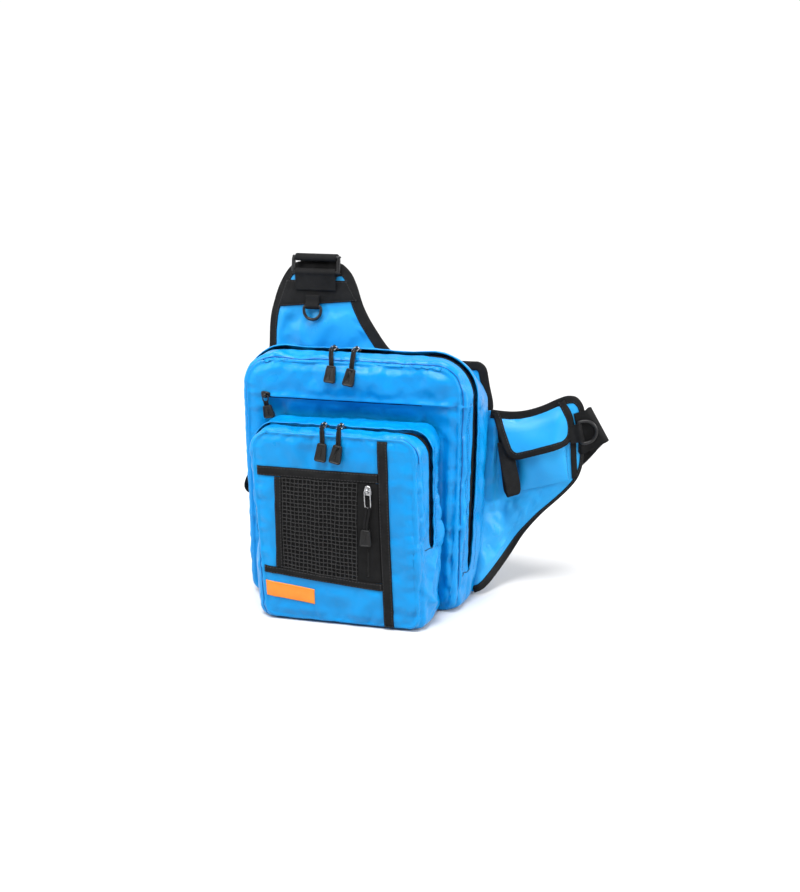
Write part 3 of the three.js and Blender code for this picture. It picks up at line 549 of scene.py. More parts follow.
BLUE = blue_cloth("blue_cloth", (0.0, 0.205, 0.53), (0.0, 0.245, 0.6), 0.0)
# A lighter copy of the blue cloth for the yoke, wing, pouch and flap pads: painted light, the same cloth made
# lighter because these parts catch more light
PAD_BLUE_PAINTED_LIGHT = blue_cloth("blue_pad_cloth_painted_light", (0.008, 0.26, 0.59), (0.016, 0.3, 0.65), 0.08)
WEBBING = black_cloth("black_webbing", 0.14, chevron)
BINDING = black_cloth("black_tape", 0.1, grosgrain, 0.0055)
ZIP_TAPE = black_cloth("zip_tape", 0.05, plain_weave, 0.004)
BACKING = black_cloth("net_backing", 0.06, plain_weave, 0.002)
BRAID = black_cloth("pull_cord", 0.2, braid, 0.006)
NET_THREAD = moulded("black_net", 0.02, 0.36, 0.02)
TEETH = moulded("zip_teeth", 0.006, 0.36, 0.01)
PLASTIC = moulded("dark_plastic", 0.012, 0.34, 0.02)
RUBBER = moulded("pull_rubber", 0.007, 0.48, 0.03)
METAL = nickel()
ENAMEL = moulded("black_enamel", 0.01, 0.22, 0.01)
LABEL = orange_label()
# Dark blue laid in the seam grooves as painted shade; the side stitches are drawn in it too
SEAM_SHADE = thread("seam_shade", (0.0, 0.085, 0.3), (0.0, 0.12, 0.4))
# Near-black blue for the line at the slit: painted shadow of the fold edge there
SLIT_SHADOW = thread("slit_shadow", (0.0, 0.012, 0.05), (0.0, 0.03, 0.1))
BLACK_THREAD = thread("black_thread", (0.012, 0.012, 0.013), (0.03, 0.03, 0.032))
ORANGE_THREAD = thread("orange_thread", (0.78, 0.16, 0.01), (0.9, 0.24, 0.02))


# Pieces
def mesh_object(name, shape, materials):
    mesh = bpy.data.meshes.new(name)
    mesh.from_pydata((np.array(shape.points) * MM).tolist(), [], shape.faces)
    layer = mesh.uv_layers.new(name=FLAT)
    layer.data.foreach_set("uv", np.array(shape.flat, np.float32).ravel())
    mesh.polygons.foreach_set("use_smooth", np.ones(len(mesh.polygons), bool))
    for material in materials:
        mesh.materials.append(material)
    made = bpy.data.objects.new(name, mesh)
    bpy.context.scene.collection.objects.link(made)
    return made


def face_outward(made):
    work = bmesh.new()
    work.from_mesh(made.data)
    bmesh.ops.recalc_face_normals(work, faces=work.faces)
    work.to_mesh(made.data)
    work.free()


def settle(made, nodes, body="bag"):
    """The piece rides on its body and stands for the solids that it replaces"""
    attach(made, body)
    if nodes:
        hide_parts(*nodes)
    return made


def piece(name, shape, material, nodes=(), body="bag"):
    made = mesh_object(name, shape, [material])
    face_outward(made)
    return settle(made, nodes, body)


class Surface:
    """The outside of a finished piece, to lay tapes on"""

    def __init__(self, made):
        points = [v.co / MM for v in made.data.vertices]
        self.tree = BVHTree.FromPolygons(points, [list(p.vertices) for p in made.data.polygons])

    def front(self, x, z):
        """Depth of the front at x and z; a place that meets nothing takes it from its neighbours"""
        x, z = np.broadcast_arrays(np.asarray(x, float), np.asarray(z, float))
        depth = np.full(x.shape, np.nan)
        for at in np.ndindex(x.shape):
            hit = self.tree.ray_cast(Vector((x[at], FAR_AHEAD, z[at])), Vector((0, 1, 0)))[0]
            if hit:
                depth[at] = hit[1]
        flat = depth.ravel()
        known = np.flatnonzero(~np.isnan(flat))
        return np.interp(np.arange(flat.size), known, flat[known]).reshape(depth.shape)

    def before(self, line, out):
        """A line given as x and z, at a distance out of the front"""
        x, z = np.asarray(line).T
        return xyz(x, self.front(x, z) - out, z)

    def seated(self, line):
        """A line moved onto the surface, and the directions out of it"""
        hits = [self.tree.find_nearest(Vector(p)) for p in line]
        return np.array([h[0] for h in hits]), np.array([h[1] for h in hits])


def four_sided(corners, us, vs):
    """Places between four corners given as x and z: low left, low right, high left, high right"""
    ll, lr, hl, hr = [np.array(c, float) for c in corners]
    u = np.asarray(us)[None, :, None]
    v = np.asarray(vs)[:, None, None]
    place = mix(mix(ll, lr, u), mix(hl, hr, u), v)
    return place[..., 0], place[..., 1]


def face_sheet(surface, corners, thick, lift=LIFT, step=5.0):
    """A thin sheet with rounded edges, laid on the front of a surface"""
    ll, lr, hl, hr = [np.array(c, float) for c in corners]
    wide = np.linalg.norm(mix(lr, hr, 0.5) - mix(ll, hl, 0.5))
    tall = np.linalg.norm(mix(hl, hr, 0.5) - mix(ll, lr, 0.5))
    us, vs = edge_steps(wide, step), edge_steps(tall, step)
    x, z = four_sided(corners, us / wide, vs / tall)
    depth = surface.front(x, z) - lift
    rise = rounded(rim_distance(us, vs), thick)
    return strip(xyz(x, depth - rise, z), xyz(x, depth + SEAT, z), (us, vs))


def face_stitches(surface, corners, lift, inset=1.5):
    """Stitches just inside the edges of a sheet that lies on the front of a surface"""
    ll, lr, hl, hr = [np.array(c, float) for c in corners]
    middle = (ll + lr + hl + hr) / 4
    loop = [ll, lr, hr, hl, ll]
    shapes = []
    for a, b in zip(loop, loop[1:]):
        way = unit(b - a) * inset
        across = np.array([-way[1], way[0]])
        across = across if across @ (middle - a) > 0 else -across
        line = even([a + across + way, b + across - way], 2.0)
        shapes.append(stitches(surface.before(line, lift), (0, -1, 0)))
    return total(shapes)


# Bag bodies: a place on a body is row q from 0 (base) over 1 and 2 (side) to 3 (top), and u across
TAPER_TOP, SHIFT_TOP = 200, 170
LIP = {"front": 1.3, "behind": -2.2}
GROOVE = 4.2
SEAM_LINES = (1.6, 3.8)
NEAR_SEAM = np.array([0.0, 0.07, 0.16, 0.3, 0.48, 0.66, 0.82, 0.94, 1.0])
FROM_ZIP = np.array([0.0, 0.03, 0.08, 0.15, 0.23, 0.31, 0.39, 0.47, 0.55, 0.63, 0.71, 0.79, 0.87, 0.95, 1.0])


def outline(table, q, u, y, inset=0.0):
    """Places of a body at depth y, as x and z; inset moves them inwards"""
    columns = [np.interp(y, table[:, 0], table[:, k]) for k in range(1, table.shape[1])]
    half, top, base, r_top, r_base, taper, shift = columns
    half, top, base, r_top, r_base = half - inset, top - inset, base + inset, r_top - inset, r_base - inset
    low, high = clamp(q) * math.pi / 2, clamp(q - 2) * math.pi / 2
    z = mix(base + r_base, top - r_top, clamp(q - 1))
    z = np.where(q > 2, top - r_top * (1 - np.sin(high)), z)
    z = np.where(q < 1, base + r_base * (1 - np.cos(low)), z)
    wide = half - taper * clamp(1 - z / TAPER_TOP)
    wide = wide - np.where(q < 1, r_base * (1 - np.sin(low)), 0)
    wide = wide - np.where(q > 2, r_top * (1 - np.cos(high)), 0)
    return u * wide + shift * clamp(1 - z / SHIFT_TOP), z


def rim_of(rows, cols):
    """Rim of a face: base, right side, top, left side, as row and place across"""
    q = [np.full(len(cols), rows[0]), rows[1:], np.full(len(cols) - 1, rows[-1]), rows[-2:0:-1]]
    u = [cols, np.ones(len(rows) - 1), cols[-2::-1], -np.ones(len(rows) - 2)]
    return np.concatenate(q), np.concatenate(u)


class Skin:
    """Cloth of a bag body; panels that meet share their points"""

    def __init__(self):
        self.shape = Shape()
        self.known = {}

    def lay(self, grid, flat, wrap=False, flip=False):
        ids = np.empty(grid.shape[:2], int)
        for at in np.ndindex(ids.shape):
            key = tuple(np.round(grid[at] * 50).astype(int))
            if key not in self.known:
                self.known[key] = len(self.shape.points)
                self.shape.points.append(tuple(grid[at]))
            ids[at] = self.known[key]
        rows = looped(ids) if wrap else ids
        us, vs = flat
        for i, k in np.ndindex(rows.shape[0] - 1, rows.shape[1] - 1):
            corners = [(i, k), (i, k + 1), (i + 1, k + 1), (i + 1, k)]
            if flip:
                corners.reverse()
            face = []
            for c in corners:
                if rows[c] not in [f for f, _ in face]:
                    face.append((rows[c], (us[c[1]], vs[c[0]])))
            if len(face) > 2:
                self.shape.faces.append(tuple(int(f) for f, _ in face))
                self.shape.flat += [m for _, m in face]
        return ids


def zip_gap(table, zip_line, right, q, u):
    """Half the gap that shows the zip, at a place of the rim"""
    x, z = outline(table, q, u, zip_line["y"])
    edge = outline(table, np.array(3.0), 1.0, zip_line["y"])[0]
    side = np.where(u > 0, np.interp(z, right[:, 0], right[:, 1]), zip_line["left"])
    over = mix(zip_line["top"], right[-1, 1], smooth((x / edge - 0.8) / 0.2))
    gap = np.where(q > 2.9, over, side) + 0.12 * np.sin(x / 31) * np.sin(z / 23)
    return np.where((z > zip_line["end"]) & (q > 0.9), np.maximum(gap, 0.25), 0.0)


def cols_of(half, count):
    """Places across a panel, with two more lines beside each seam"""
    near = [1 - line / half for line in SEAM_LINES]
    inner = np.linspace(-1, 1, count)[1:-1]
    inner = inner[np.abs(inner) < near[1] - 1.5 / half]
    return np.concatenate([[-1, -near[0], -near[1]], inner, [near[1], near[0], 1]])


def bag_body(table, rows, cols, face, zip_line, right, closed_back):
    """Cloth of a compartment: front panel, side panels up to the zip and behind it, back panel"""
    skin = Skin()
    q, u = np.meshgrid(rows, cols, indexing="ij")
    first, last, middle = table[0, 0], table[-1, 0], zip_line["y"]
    x, z = outline(table, q, u, first)
    flat = (cols * table[0, 1], z[:, 0])
    grids = {"front": skin.lay(xyz(x, face(q, u, x, z), z), flat)}
    rim_q, rim_u = rim_of(rows, cols)
    for name, y in (("seam", first), ("groove", first + GROOVE)):
        x, z = outline(table, rim_q, rim_u, y)
        grids[name] = xyz(x, y, z)
    around = length_of(looped(grids["seam"]))
    gap = zip_gap(table, zip_line, right, rim_q, rim_u)
    lip = smooth(gap / 1.5)[:, None]
    spans = (
        ("before", first + 0 * gap, middle - gap, NEAR_SEAM, LIP["front"] * NEAR_SEAM**6),
        ("behind", middle + gap, last + 0 * gap, FROM_ZIP, LIP["behind"] * (1 - FROM_ZIP) ** 6),
    )
    for name, start, end, steps, inset in spans:
        y = mix(start[:, None], end[:, None], steps[None, :])
        x, z = outline(table, rim_q[:, None], rim_u[:, None], y, lip * inset[None, :])
        grids[name] = skin.lay(xyz(x, y, z), (y[0], around), wrap=True)
    if closed_back:
        x, z = outline(table, q, u, last)
        grids["back"] = skin.lay(xyz(x, last, z), flat, flip=True)
    grids["zip"] = np.concatenate([grids["before"][gap > 0, -1], grids["behind"][gap > 0, 0]])
    return skin, grids


# Cloth
CLOTH_SETTINGS = {
    "vertex_group_mass": "sewn", "quality": 5, "mass": 0.15, "tension_stiffness": 25,
    "compression_stiffness": 25, "shear_stiffness": 12, "bending_stiffness": 0.08, "use_pressure": True,
}


def billow(made, pinned, growth, pressure, cap, frames=16):
    """Cloth simulation: cloth cut a little large and sewn where pinned is blown out, no point past cap"""
    rest = np.array([v.co for v in made.data.vertices])
    group = made.vertex_groups.new(name="sewn")
    group.add([int(i) for i in pinned], 1.0, "REPLACE")
    cloth = made.modifiers.new("billow", "CLOTH")
    for key, value in CLOTH_SETTINGS.items():
        setattr(cloth.settings, key, value)
    cloth.settings.shrink_min = -growth
    cloth.settings.uniform_pressure_force = pressure
    cloth.settings.effector_weights.gravity = 0
    cloth.collision_settings.use_collision = False
    cloth.point_cache.frame_start = 1
    cloth.point_cache.frame_end = frames
    for step in range(1, frames + 1):
        bpy.context.scene.frame_set(step)
    ready = made.evaluated_get(bpy.context.evaluated_depsgraph_get())
    moved = np.array([v.co for v in ready.data.vertices]) - rest
    bpy.context.scene.frame_set(1)
    made.modifiers.remove(cloth)
    made.vertex_groups.remove(group)
    far = np.linalg.norm(moved, axis=1, keepdims=True)
    soft = cap * MM * np.tanh(far / (cap * MM))
    made.data.vertices.foreach_set("co", (rest + moved * soft / np.maximum(far, 1e-9)).ravel())
    made.data.update()


def points_of(made):
    return np.array([v.co for v in made.data.vertices]) / MM


def put_points(made, points):
    made.data.vertices.foreach_set("co", (points * MM).ravel())
    made.data.update()


def push_out(made, points, rise):
    """Points moved along the normals of their mesh"""
    normals = np.array([v.normal for v in made.data.vertices])
    put_points(made, points + normals * rise[:, None])


def nearest(points, line):
    """Place of a line that is nearest to each point, and how far it is"""
    tree = KDTree(len(line))
    for n, p in enumerate(line):
        tree.insert(Vector(p), n)
    tree.balance()
    found = [tree.find(Vector(p))[1:] for p in points]
    return np.array([n for n, _ in found]), np.array([d for _, d in found])


def folds(made, table, share=None):
    """Folds pressed into cloth: each row has two ends, the width and the height of a fold"""
    points = points_of(made)
    held = share(points) if share else 1.0
    rise = np.zeros(len(points))
    for x0, y0, z0, x1, y1, z1, wide, high in table:
        line = even([(x0, y0, z0), (x1, y1, z1)], 4.0)
        line = even(points[nearest(line, points)[0]], 1.0)
        at, apart = nearest(points, line)
        rise += high * np.exp(-((apart / wide) ** 1.2)) * np.sin(math.pi * mix(0.12, 0.88, at / len(line)))
    push_out(made, points, rise * held)


def slack(made, share, high, size, seed):
    """Soft swells of loose cloth, longer one way than the other; share says how loose each point is"""
    points = points_of(made)
    long_way = unit(np.array([0.5, 0.2, 1.0]))
    rise = []
    for p in points:
        q = (p - long_way * (p @ long_way) * 0.55) / size + seed
        rise.append(noise.noise(Vector(q)) + 1.1 * (0.22 - abs(noise.noise(Vector(q * 1.5 + 7.7)))))
    held = smooth((points[:, 2] - 2) / 14) * high * share(points)
    push_out(made, points, np.array(rise) * held)


def pinch(made, grids, ridge, groove, puff, pucker, seed):
    """Draws a seam in: its edge stands up, a groove runs behind it, the cloth beside it puffs and puckers"""
    seam, behind = [even(looped(grids[k]), 1.0) for k in ("seam", "groove")]
    points = points_of(made)
    at, far = nearest(points, seam)
    deep = nearest(points, behind)[1]
    chance = np.random.default_rng(seed)
    places = np.arange(len(seam))
    waves = np.zeros(len(seam))
    for pitch in (9.0, 14.0, 23.0):
        waves += np.sin(places * 2 * math.pi / pitch + chance.uniform(0, 6)) / 2
    strength = np.interp(places, places[::25], chance.uniform(0.2, 1, len(places[::25])))
    rise = ridge * np.exp(-((far / 1.6) ** 2)) - groove * np.exp(-((deep / 2.2) ** 2))
    rise = rise + puff * np.exp(-(((far - 10) / 5) ** 2))
    rise = rise + pucker * (waves * strength)[at] * np.exp(-(((far - 6) / 5) ** 2))
    push_out(made, points, rise * smooth((points[:, 2] - 1) / 8))


def applied(made):
    """Modifiers turned into mesh"""
    ready = made.evaluated_get(bpy.context.evaluated_depsgraph_get())
    mesh = bpy.data.meshes.new_from_object(ready)
    made.modifiers.clear()
    made.data = mesh
    mesh.polygons.foreach_set("use_smooth", np.ones(len(mesh.polygons), bool))


def refined(made):
    """Each face cut in four and smoothed"""
    smoother = made.modifiers.new("smooth", "SUBSURF")
    smoother.levels = 1
    smoother.boundary_smooth = "PRESERVE_CORNERS"
    applied(made)


def walled(made):
    """Cloth gets its thickness on the inside"""
    wall = made.modifiers.new("wall", "SOLIDIFY")
    wall.thickness = CLOTH * MM
    wall.offset = -1
    applied(made)


def lined(first, last, step):
    return np.linspace(first, last, int(round(abs(last - first) / step)) + 1)


# Folds: two ends, width and height; on the wing the ends are x and z
MAIN_FOLDS = (
    (136, 0, 70, 135, 2, 225, 6, 2.4), (136, 23, 50, 134, 21, 215, 6, 1.8),
    (136, 12, 60, 135, 12, 220, 4, -3.0), (136, 36, 40, 134, 34, 180, 5, -2.6),
    (136, 3, 150, 135, 20, 110, 5, 2.2), (136, 20, 200, 135, 2, 178, 4, -1.8),
    (108, -56, 268, 62, -58, 246, 6, 1.6), (116, -54, 256, 80, -57, 243, 5, -1.5),
    (96, -57, 272, 50, -59, 258, 5, -1.2), (-60, -58, 270, -86, -57, 248, 6, 1.3),
    (-40, -59, 268, -52, -58, 246, 5, -1.1), (30, -59, 270, 36, -58, 246, 6, 1.2),
    (126, -44, 70, 131, -28, 62, 5, 2.0), (125, -46, 46, 130, -30, 34, 4, 2.2),
    (124, -46, 30, 131, -28, 24, 4, -1.8), (118, -50, 60, 100, -51, 84, 6, 1.8),
    (118, -50, 30, 104, -51, 14, 5, 1.8), (116, -50, 150, 104, -51, 118, 6, 1.4),
    (105, -51, 196, 106, -51, 30, 3, -3.8), (111, -51, 190, 110, -51, 14, 3.5, 3.8),
    (118, -50, 112, 116, -50, 10, 3, 3.2), (114, -51, 150, 114, -51, 24, 2.5, -3.0),
    (109, -51, 52, 118, -50, 8, 3, 3.2), (124, -46, 120, 124, -46, 12, 2.5, 2.4),
    (126, -44, 200, 131, -30, 190, 5, 1.2), (126, -44, 150, 131, -30, 158, 5, 1.2),
    (127, -42, 238, 131, -30, 246, 5, 1.2), (-118, -50, 190, -104, -51, 160, 6, 1.2),
    (-118, -50, 90, -100, -51, 120, 6, 1.2), (-120, -46, 40, -126, -34, 60, 6, 1.5),
    (-131, 4, 114, -127, 4, 18, 16, 2.6),
)
POCKET_FOLDS = (
    (92, -118, 160, 99, -100, 150, 4, 1.5), (92, -118, 128, 99, -98, 138, 4, 1.6),
    (93, -118, 98, 100, -96, 84, 4, 1.9), (92, -118, 128, 93, -118, 98, 4, 1.4),
    (93, -117, 98, 96, -114, 60, 4, 1.8), (92, -118, 160, 92, -118, 128, 4, 1.2),
    (96, -114, 64, 103, -90, 52, 4, 2.2), (98, -114, 36, 104, -84, 24, 4, 2.4),
    (96, -115, 20, 104, -92, 40, 4, -1.8), (101, -80, 60, 101, -62, 44, 5, 1.8),
    (101, -78, 30, 102, -60, 16, 5, 2.0), (101, -76, 130, 101, -74, 60, 4, 1.4),
    (101, -62, 190, 102, -64, 26, 4, 4.0), (101, -70, 180, 102, -72, 40, 3, -3.2),
    (101, -55, 190, 101, -55, 24, 3, -3.2), (80, -121, 150, 86, -121, 54, 8, 2.6),
    (86, -120, 112, 94, -116, 60, 4, 2.8), (102, -80, 84, 103, -82, 14, 4, 3.2),
    (97, -112, 84, 103, -84, 60, 4, 2.8), (98, -110, 68, 104, -80, 36, 3.5, -2.6),
    (97, -112, 46, 104, -84, 20, 4, 2.8), (92, -119, 30, 76, -121, 14, 5, 1.6),
    (94, -118, 60, 80, -121, 90, 6, 1.1), (88, -119, 190, 74, -121, 160, 6, 1.2),
    (40, -122, 30, 20, -121, 12, 6, 1.0), (-10, -122, 34, 10, -121, 12, 6, -0.9),
    (-86, -119, 150, -78, -120, 90, 6, 1.0), (-50, -121, 208, -36, -122, 182, 6, 1.2),
    (20, -122, 208, 34, -122, 182, 6, 1.0), (60, -121, 206, 74, -121, 182, 6, 1.0),
)
WING_FOLDS = (
    (139, 198, 143, 112, 3.5, 5.0), (145, 196, 149, 112, 4, -4.0), (152, 160, 158, 100, 5, 3.0),
    (136, 120, 150, 84, 5, 4.0), (136, 96, 156, 92, 4, -3.2), (137, 84, 152, 62, 5, 4.0),
    (136, 60, 150, 46, 4, -3.2), (138, 40, 146, 24, 5, 2.0), (160, 108, 186, 84, 7, 1.4),
    (168, 96, 150, 60, 6, 1.2),
)


def painted_shade_line(at, out, wide, high):
    """A thin round line that lies on a surface: painted shade of seams and of the slit"""
    side = unit(np.cross(along_of(at), out))
    return sweep(at, side, out, circle(6, wide, high))


def painted_seam_shade(name, groove, surface, low_right):
    """A dark line in the groove of a seam: painted shade of its crease"""
    at, out = surface.seated(even(looped(groove), 2.0)[:-1])
    around = (np.arange(len(at))[:, None] + np.arange(-2, 3)[None, :]) % len(at)
    at, out = at[around].mean(axis=1), unit(out[around].mean(axis=1))
    at = mix(at, surface.seated(at)[0], 0.7) + out * 0.15
    keep = (at[:, 2] > 3) & ((at[:, 2] > low_right) | (at[:, 0] < 0))
    first = int(np.argmax(keep & ~np.roll(keep, 1)))
    at, out, keep = [np.roll(a, -first, axis=0) for a in (at, out, keep)]
    piece(name, painted_shade_line(at[keep], out[keep], 0.6, 0.45), SEAM_SHADE)


def side_lines(name, table, surface, groove, lines, slit, low_right):
    """Painted shade in the seam groove, stitches on the right side and a painted shadow line at the slit
    below the zip
    """
    painted_seam_shade(f"{name}_seam_shade", groove, surface, low_right)

    def on_side(y, z):
        return surface.seated(xyz(np.interp(y, table[:, 0], table[:, 1]) + 4, y, z))

    rows = []
    for y, low, high in lines:
        z = lined(low, high, 3.0)
        at, _ = on_side(y, z)
        at, out = surface.seated(xyz(at[:, 0] + 0.5, y, z))
        rows.append(stitches(at, out, pitch=3.0, long=2.5, wide=0.34))
    piece(f"{name}_side_stitches", total(rows), SEAM_SHADE)
    # The slit is drawn as a dark line of painted shadow, where a fold of the side ends below the zip
    z, start, end = slit
    at, out = on_side(lined(start, end, 1.5), z)
    piece(f"{name}_slit", painted_shade_line(at, out, 0.55, 0.35), SLIT_SHADOW)


def side_span(table):
    """Heights between which the side of the front seam is straight"""
    return table[0, 3] + table[0, 5], table[0, 2] - table[0, 4]


def side_row(table, z):
    """Row of the side that lies at height z on the front seam"""
    low, high = side_span(table)
    return 1 + (np.asarray(z, float) - low) / (high - low)


def cut_body(name, table, rows, count, face, zip_line, right, closed_back):
    """Cloth of a compartment before it swells: its mesh, panels and points, and the sewn points"""
    cols = cols_of(table[0, 1], count)
    skin, grids = bag_body(table, rows, cols, face, zip_line, right, closed_back)
    made = mesh_object(name, skin.shape, [BLUE])
    face_outward(made)
    start = np.array(skin.shape.points)
    front = grids["front"]
    on_floor = np.flatnonzero(start[:, 2] < 1.5)
    return made, grids, start, [front[0], front[-1], front[:, 0], front[:, -1], grids["zip"], on_floor]


def crumple(made, grids, start, ease, swell, seam, fold_rows):
    """Loose swells, drawn-in seams and folds; then the cloth gets its thickness"""
    still = np.vstack([start[grids["zip"]], grids["seam"]])
    refined(made)
    slack(made, lambda points: smooth((nearest(points, still)[1] - 2) / 14) * ease(points), **swell)
    pinch(made, grids, **seam)
    folds(made, fold_rows)
    walled(made)


# Main compartment; stitch lines on the right side: depth, low end, high end; slit, a line of painted shadow:
# height, two depths
MAIN_SWELL = {"high": 2.5, "size": 38, "seed": 3.1}
MAIN_PINCH = {"ridge": 1.9, "groove": 2.8, "puff": 1.3, "pucker": 0.75, "seed": 3}
MAIN_LINES = ((-33.5, 46, 236), (-36.5, 46, 236), (-11, 40, 220))
MAIN_SLIT = (42.0, -22.0, -40.0)

# Cloth behind the front pocket: half width and top of what it hides;
# depth, low end, high end and half width of the dip
HIDDEN_HALF, HIDDEN_TOP = 93, 208
DIP = (7, 196, 235, 104)

# Sides that swell less, from this place across: the right one only at its rear, all of the left one
SIDE_FROM, SIDE_OVER = 100, 20
RIGHT_HELD, LEFT_HELD = 0.8, 0.85


def main_face(q, u, x, z):
    t = clamp((z - BULGE["base"]) / (BULGE["top"] - BULGE["base"]))
    return MAIN[0, 0] - BULGE["depth"] * np.sin(math.pi * t) * (1 - np.abs(u) ** 6)


def main_ease(points):
    """How loose the main cloth is: firm at the hem and on the left, loose on the right"""
    x, z = points[:, 0], points[:, 2]
    hem = 1 - 0.9 * np.exp(-(((z - HEM[0, 0]) / 9) ** 2))
    return hem * mix(0.8, 1.4, smooth((x - 98) / 12)) * mix(0.3, 1.0, smooth((x + 128) / 10))


def fold_hem(points, front, hem_ids):
    """Turns the hem in over the flat pocket and sinks the cloth behind the front pocket"""
    for ids, (_, z, y) in zip(hem_ids, HEM[::-1]):
        x = points[ids, 0]
        share = smooth((x - HEM_ENDS[0]) / (HEM_ENDS[1] - HEM_ENDS[0]))
        share = share * smooth((HEM_ENDS[3] - x) / (HEM_ENDS[3] - HEM_ENDS[2]))
        points[ids, 1] = mix(points[ids, 1], y, share)
        points[ids, 2] = mix(points[ids, 2], z, share)
    x, z = points[front][..., 0], points[front][..., 2]
    depth, low, high, half = DIP
    share = smooth((high - z) / 15) * smooth((z - low) / 10) * smooth((half - np.abs(x)) / 12)
    points[front, 1] += depth * share


def main_compartment():
    hem_rows = side_row(MAIN, HEM[::-1, 0])
    rows = np.concatenate([
        np.linspace(0, 1, 4, endpoint=False),
        side_row(MAIN, lined(20, 231, 5.3)),
        hem_rows,
        side_row(MAIN, [241.5, 245.5]),
        2 + np.linspace(0, 1, 9),
    ])
    parts = cut_body("main_body", MAIN, rows, 47, main_face, MAIN_ZIP, MAIN_ZIP_RIGHT, True)
    made, grids, start, sewn = parts
    front = grids["front"]
    hem = front[np.isin(rows, hem_rows)]
    hidden = (np.abs(start[front][..., 0]) < HIDDEN_HALF) & (start[front][..., 2] < HIDDEN_TOP)
    sewn += [hem.ravel(), front[hidden], grids["back"].ravel()]
    billow(made, np.unique(np.concatenate(sewn)), growth=0.045, pressure=2.0, cap=5)
    x, y, _ = start.T
    free = 1 - RIGHT_HELD * smooth((y - 5) / 25) * smooth((x - SIDE_FROM) / SIDE_OVER)
    free = free * (1 - LEFT_HELD * smooth((-SIDE_FROM - x) / SIDE_OVER))
    points = start + (points_of(made) - start) * free[:, None]
    fold_hem(points, front, hem)
    put_points(made, points)
    crumple(made, grids, start, main_ease, MAIN_SWELL, MAIN_PINCH, MAIN_FOLDS)
    settle(made, ["main_shell", "welt_flap"])
    side_lines("main", MAIN, Surface(made), grids["groove"], MAIN_LINES, MAIN_SLIT, 3)


# Front pocket; stitch lines and slit as above; cloth sewn down under the upright band and in boxes,
# each with two places across and two heights
POCKET_SWELL = {"high": 2.1, "size": 34, "seed": 9.4}
POCKET_PINCH = {"ridge": 1.9, "groove": 2.4, "puff": 1.1, "pucker": 0.8, "seed": 5}
POCKET_LINES = ((-80.5, 70, 196), (-77, 70, 196), (-63, 30, 190))
POCKET_SLIT = (88.0, -88.0, -103.0)
SEWN_LINE = {"low": 61.5, "high": 54.4, "from": 8, "over": 200, "half": 8}
SEWN_BOXES = ((-88, 50, 162, 177), (-67, 50, 44, 177), (-82, -18, 20, 64), (-82, 50, 44, 64))
UPRIGHT = ((56.2, 3), (67.2, 3), (48.7, 210), (59.9, 210))


def pocket_face(q, u, x, z):
    up = clamp(1 - ((z - CROWN["middle"]) / CROWN["reach"]) ** 2)
    rim = smooth(q / 0.6) * smooth((3 - q) / 0.6)
    return POCKET[0, 0] - CROWN["depth"] * up * rim * (1 - u**2)


def pocket_ease(points):
    return mix(0.7, 1.6, smooth((points[:, 0] - 70) / 25))


def front_pocket():
    rows = np.concatenate([
        np.linspace(0, 1, 4, endpoint=False),
        side_row(POCKET, lined(*side_span(POCKET), 5.0))[:-1],
        2 + np.linspace(0, 1, 7),
    ])
    parts = cut_body("pocket_body", POCKET, rows, 37, pocket_face, POCKET_ZIP, POCKET_ZIP_RIGHT, False)
    made, grids, start, sewn = parts
    front = grids["front"]
    x, z = start[front][..., 0], start[front][..., 2]
    band = mix(SEWN_LINE["low"], SEWN_LINE["high"], (z - SEWN_LINE["from"]) / SEWN_LINE["over"])
    taped = np.abs(x - band) < SEWN_LINE["half"]
    for x0, x1, z0, z1 in SEWN_BOXES:
        taped |= (x > x0) & (x < x1) & (z > z0) & (z < z1)
    sewn += [front[taped], grids["behind"][:, -1]]
    billow(made, np.unique(np.concatenate(sewn)), growth=0.045, pressure=2.0, cap=4)
    crumple(made, grids, start, pocket_ease, POCKET_SWELL, POCKET_PINCH, POCKET_FOLDS)
    settle(made, ["pocket_shell"])
    surface = Surface(made)
    side_lines("pocket", POCKET, surface, grids["groove"], POCKET_LINES, POCKET_SLIT, 186)
    return surface


# Zips
ZIP_TILT = 0.13
ZIP_INSET = 2.2
WELT = {"left": -104, "right": 80, "y": -52.4, "z": 238.6, "gap": 2.0}


def zip_tape(path, across, out, gap):
    """Tape of a zip: gap is half of what shows; the edges dip under the cloth"""
    gap = np.broadcast_to(gap, len(path))[:, None]
    a = np.hstack([-gap - 2.2, -gap, 0 * gap - 1.0, 0 * gap, 0 * gap + 1.0, gap, gap + 2.2])
    rise = np.array([-1.8, 0, 0, -0.25, 0, 0, -1.2]) + ZIP_TILT * a
    both = np.hstack([a, a[:, ::-1]])
    high = np.hstack([rise, rise[:, ::-1] - 0.6])
    return tube(path[:, None] + across[:, None] * both[..., None] + out[:, None] * high[..., None])


def zip_teeth(path, across, out, pitch=1.3):
    """Coil of a zip: short bars that come from both sides in turn"""
    both = even(np.hstack([path, across, out]), pitch)
    ring = circle(6, 0.42)
    shapes = []
    for n, (at, side, up) in enumerate(zip(both[:, :3], unit(both[:, 3:6]), unit(both[:, 6:]))):
        along = np.cross(side, up)
        hand = 1 if n % 2 else -1
        rings = [at + side * hand * s + np.outer(ring[:, 0] * k, along) + np.outer(ring[:, 1] * k + 0.25, up)
                 for s, k in ((-0.7, 0.6), (-0.4, 1.0), (1.2, 1.0), (1.5, 0.6))]
        shapes.append(tube(np.array(rings)))
    return total(shapes)


